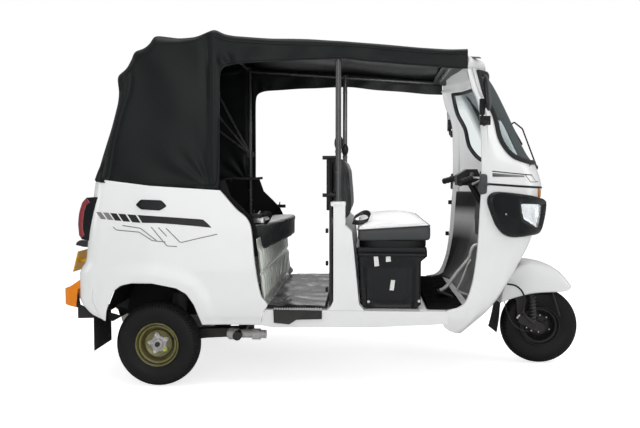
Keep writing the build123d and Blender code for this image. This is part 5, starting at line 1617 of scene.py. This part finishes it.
cap_z = np.array([0.916, 0.9165, 0.914, 0.91, 0.9, 0.896, 0.895])[None, :]
cap = xyz(0.0335 + 0.0375 * cap_r * bowed(np.cos(a), 0.55), -0.589 + 0.039 * cap_r * bowed(np.sin(a), 0.55),
    cap_z)
collar = tube([(0.033, -0.57, 0.905), (0.033, -0.57, 0.93)], 0.0175, 24)
piece("post_caps", [(cap, "rows")], white_enamel, mirrored=True, crease=60)
piece("pole_collars", [collar, tube([(0.033, -0.57, 1.15), (0.033, -0.57, 1.162)], 0.0155, 24),
    tube([(0.033, -0.57, 1.553), (0.033, -0.57, 1.566)], 0.015, 24)], pole_steel,
    mirrored=True, crease=40)
t, s = circle(60)[:, None], np.linspace(-1, 1, 20)[None, :]
round_off = np.sqrt(held(1 - s ** 2)) ** 0.8
head_pad = xyz(0.034 + 0.022 * round_off * np.cos(t), -0.53 + 0.026 * s,
    1.2 + 0.038 * round_off * np.sin(t))
piece("rail_knob", [(head_pad, "rows")], dull_black, mirrored=True)
bar_ends = [tube([(x, -0.545, z) for x in (-0.045, -0.018, 0.02)], 0.0095, 14) for z in (1.128, 0.945)]
piece("rail_ends", bar_ends, grip_rubber, mirrored=True)
clips = [box_form((-0.03, -0.56, z), (-0.016, -0.535, z + 0.022)) for z in (0.47, 0.6, 0.76)]
clips += [box_form((-0.022, -0.6, 0.965 + 0.02 * k), (-0.014, -0.59, 0.972 + 0.02 * k)) for k in range(7)]
piece("partition_clips", clips, dull_black, mirrored=True)
teeth = [box_form((-0.276 + 0.0125 * k, -0.632, 0.393), (-0.27 + 0.0125 * k, -0.616, 0.4005), 0.0008, 3)
    for k in range(19)]
piece("sill_teeth", teeth, zinc, mirrored=True)
piece("bench_latch", [box_form((-0.4, -0.556, 0.832), (-0.345, -0.528, 0.852)),
    tube([(-0.385, -0.545, 0.85), (-0.382, -0.545, 0.868)], 0.004, 8)], dull_black,
    mirrored=True)
strap = np.array([(-0.658, 0.4, 1.022), (-0.6, 0.42, 1.018), (-0.54, 0.46, 1.017), (-0.491, 0.54, 1.021)])
strap = resampled(strap, 40)[:, None] + np.linspace(-0.008, 0.008, 4)[None, :,
    None] * np.array([0, 0.1, 1.0])
piece("hood_stay_straps", [strap], grip_rubber, away_from=(-0.6, 0.9, 1.0), wall=0.002,
    mirrored=True)
# ---- tail lamps, lid, plate and bumper
# Each tail lamp is a ribbed lens, red below and amber above, in a black housing. The engine lid has a
# louvred panel, two strap hinges at its top edge and a pull; below it hang the plain yellow plate and
# a tubular orange bumper.
dressed(gloss_black, "tail_lamp_housings", bevel=0.003)
lens_red = finish_of("tail_lens", (0.22, 0.006, 0.012), 0.1, second=(0.18, 0.005, 0.01), patch=12.0,
    rough_to=0.16, Coat_Weight=1.0, Coat_Roughness=0.03)
tree = lens_red.node_tree
place, height = place_in(tree), place_in(tree, "Z")
inner = ramp(tree, calc(tree, "ABSOLUTE", place_in(tree, "Y")), 0.5755, 0.5745)
amber = calc(tree, "MULTIPLY", ramp(tree, height, 0.8585, 0.8595), inner)
clear = calc(tree, "MULTIPLY", ramp(tree, height, 0.7765, 0.7755), inner)
tone = blend_colour(tree, amber, (0.22, 0.005, 0.012), (0.75, 0.22, 0.01))
tone = blend_colour(tree, clear, tone, (0.55, 0.56, 0.57))
tone = blend_colour(tree, used(tree, DUST, Amount=0.15), tone, (0.3, 0.2, 0.17))
ribs, prism = (outlet(tree, "TexWave", {"bands_direction": axis}, Vector=place, Scale=scale, Distortion=0.0)
    for axis, scale in (("Y", 52.0), ("Z", 30.0)))
shade(tree, Base_Color=tone, Normal=bumped(tree, prism, 0.0007, Normal=bumped(tree, ribs, 0.001)))
LENS_EDGE = mm([(-1198, 931), (-1214, 921), (-1224, 909), (-1238, 868), (-1244, 830), (-1246, 801),
    (-1244, 772), (-1241, 748), (-1232, 732)])
back = resampled(LENS_EDGE, 60, 2)
mid = np.array([-1.13, 0.826])
y_in = np.linspace(0.474, 0.6045, 24)
turn, wrap = np.linspace(0, pi / 2, 8)[1:], np.linspace(0, 1, 8)[1:]
# across the back, round the outer edge, and along the flank: place across, and how far it draws in
y = np.concatenate([-y_in, -0.6045 - 0.009 * np.sin(turn), -0.6135 + 0.001 * wrap])
draw = np.concatenate([0 * y_in, 0.009 * (1 - np.cos(turn)), 0.009 + 0.017 * wrap])
proud = 0.0015 * (np.arange(len(y)) < len(y_in) + len(turn))
shift = unit(mid - back)
lens_skin = xyz(back[:, :1] + shift[:, :1] * draw - proud, y, back[:, 1:] + shift[:, 1:] * draw)
piece("tail_lens_forms", [lens_skin], lens_red, away_from=(-1.0, -0.54, 0.82), wall=0.002,
    mirrored=True, crease=60, stands_for="tail_lamp_lenses")
orange = finish_of("bumper_enamel", (0.8, 0.235, 0.004), 0.42, second=(0.72, 0.2, 0.004), patch=5.0,
    dust=0.15, shine=0.3)
dressed(orange, "rear_bumper", bevel=0.006)
dressed(gear_black, "bumper_brackets")
yellow = finish_of("plate_yellow_film", (0.8, 0.5, 0.015), 0.3, second=(0.74, 0.45, 0.015), patch=12.0,
    dust=0.25, Coat_Weight=0.4)
tree = yellow.node_tree
tone = blend_colour(tree, used(tree, DUST, Amount=0.25), (0.78, 0.42, 0.01), (0.3, 0.25, 0.12))
shade(tree, Base_Color=blend_colour(tree, ramp(tree, place_in(tree, "Z"), 0.6545, 0.6555), tone,
    (0.01, 0.01, 0.011)))
dressed(yellow, "number_plate", bevel=0.003)
dressed(flap_black, "rear_mud_flaps")
tilt = np.array([(-1.305, 0.65), (-1.333, 0.545)])


def on_plate(y, share, lift):
    """Point of the number plate's face at y, share of the way down, lifted off it."""
    return xyz(tilt[0, 0] + share * (tilt[1, 0] - tilt[0, 0]) - 0.966 * lift, y,
        tilt[0, 1] + share * (tilt[1, 1] - tilt[0, 1]) + 0.258 * lift)


border = np.array([(-448, 60), (24, 60), (24, 940), (-448, 940)])
loop = outline(border * (1, 0.106), 160, 3)
rings = [on_plate(loop[:, 0] * k + (1 - k) * -0.212, (loop[:, 1] * k2 + (1 - k2) * 0.053) / 0.106, lift)
    for k, k2, lift in ((1, 1, 0.0), (1, 1, 0.0022), (0.99, 0.94, 0.0022), (0.99, 0.94, 0.0))]
piece("plate_border", [(np.stack(rings), "columns")], dull_black, crease=40)


def on_tail(y, z, lift):
    """Point of the tub's back at y and z, lifted off it."""
    return tub_back(y, z) + np.asarray(lift)[..., None] * np.array([-1.0, 0, 0])


# louvres: rows of pressed hoods, three columns, over the lid's upper half
louvres = []
up, along = fill(8, 24)
for row in range(6):
    for y0 in (-0.33, -0.105, 0.12):
        hood_rise = 0.01 * np.sin(pi * along) ** 0.4 * held(1 - up) ** 0.8 * (up > 0) + 0.0015
        louvres.append(on_tail(y0 + 0.21 * along, 0.655 + 0.03 * row + 0.017 * up, hood_rise))
piece("lid_louvres", louvres, white_enamel, "rear_lid", away_from=(-0.8, 0, 0.7), wall=0.0012)
# black strips in the louvres' openings: painted shade for the dark space behind them
slot_shade_strips = [on_tail(y0 + 0.004 + 0.202 * along, 0.6515 + 0.03 * row + 0.0035 * up, 0.0012) for row in range(6)
    for y0 in (-0.33, -0.105, 0.12)]
piece("lid_slots", slot_shade_strips, dull_black, "rear_lid", away_from=(-0.8, 0, 0.7))
hinges = [boss(on_tail, [(y - 22, 866), (y + 22, 866), (y + 20, 800), (y, 790), (y - 20, 800)], 0.006)
    for y in (-300, 300)]
piece("lid_straps", hinges, white_enamel, "rear_lid")
pull = tube([on_tail(-0.06, 0.56, 0.004), on_tail(-0.058, 0.56, 0.03), on_tail(-0.045, 0.56, 0.036),
    on_tail(0.045, 0.56, 0.036), on_tail(0.058, 0.56, 0.03), on_tail(0.06, 0.56, 0.004)], 0.006, 12)
piece("lid_pull", [pull], bright, "rear_lid", crease=50)
bezel = [(-953, 898), (-928, 925), (-824, 922), (-795, 893), (-830, 871), (-924, 876)]
piece("side_vents", [boss(on_tub, bezel, 0.006, rounding=2)], gloss_black, mirrored=True)
# ---- chassis, engine and suspension
# Everything under the floor: painted frame rails and swinging arms, an air-cooled engine with its
# cooling fins, coil springs round the rear dampers and a drum silencer held by two bands.
dressed(gear_black, "chassis_frame", "trailing_arms", "rear_shocks")
alloy = finish_of("engine_alloy_cast", (0.3, 0.3, 0.29), 0.42, second=(0.2, 0.195, 0.185), patch=9.0,
    grain=420.0, depth=0.4, dust=0.6, dust_colour=(0.14, 0.125, 0.1), Metallic=0.7)
dressed(alloy, "engine_block", bevel=0.008)
heat_steel = finish_of("silencer_steel", (0.3, 0.285, 0.265), 0.36, second=(0.16, 0.135, 0.11), patch=8.0,
    grain=300.0, depth=0.15, dust=0.5, dust_colour=(0.2, 0.16, 0.12), Metallic=0.8)
dressed(heat_steel, "silencer", bevel=0.003)
piece("rear_springs", [coil(-0.8, -0.44, 0.262, 0.452, 0.03, 0.0055, 7, lean=0.0225)], spring_steel,
    mirrored=True)
fins = [slab([(-1000, -150), (-860, -150), (-860, 150), (-1000, 150)], 0.41 + 0.012 * k, 0.415 + 0.012 * k,
    48, 3, 0.002) for k in range(8)]
piece("engine_fins", fins, alloy, crease=40)
bands = []
for y in (-0.12, 0.12):
    ring = circle(48)
    bands.append(tube(xyz(-1.122 + 0.0535 * np.cos(ring), y, 0.262 + 0.0535 * np.sin(ring)), 0.004, 8,
        closed=True))
piece("silencer_bands", bands, zinc)
piece("sill_pivots", [tube([(-0.528, -0.5, 0.244), (-0.43, -0.502, 0.246), (-0.331, -0.5, 0.244)], 0.021,
    16), tube([(-0.52, -0.5, 0.244), (-0.47, -0.5, 0.244)], 0.029, 16),
    tube([(-0.4, -0.5, 0.244), (-0.36, -0.5, 0.244)], 0.028, 16)], cast_grey, mirrored=True,
    crease=40)
# the wheel arch's liner turns down behind the wheel, and a gutter closes the roof over the screen
liner_top = np.array([(-1.105, 0.372), (-1.06, 0.362), (-1.028, 0.351)])
liner_low = np.array([(-1.092, 0.327), (-1.073, 0.325), (-1.03, 0.349)])
liner = np.stack([liner_top, liner_low])
liner = [xyz(liner[..., 0], np.full((2, 3), y), liner[..., 1]) for y in (-0.622, -0.47)]
piece("arch_liner_tails", [liner[0], liner[1], np.stack([liner[0][1], liner[1][1]])], trim_black,
    mirrored=True, crease=20)
x, y = np.linspace(0.585, 0.712, 20)[None, :], np.linspace(-0.566, 0.566, 60)[:, None]
z = 1.634 - 0.06 * (x - 0.64) - 0.03 * (np.abs(y) / 0.566) ** 6
beam = np.stack(np.broadcast_arrays(x, y, z), -1)
piece("header_gutter", [beam], latch_grey, away_from=(0.6, 0, 0), wall=0.003)
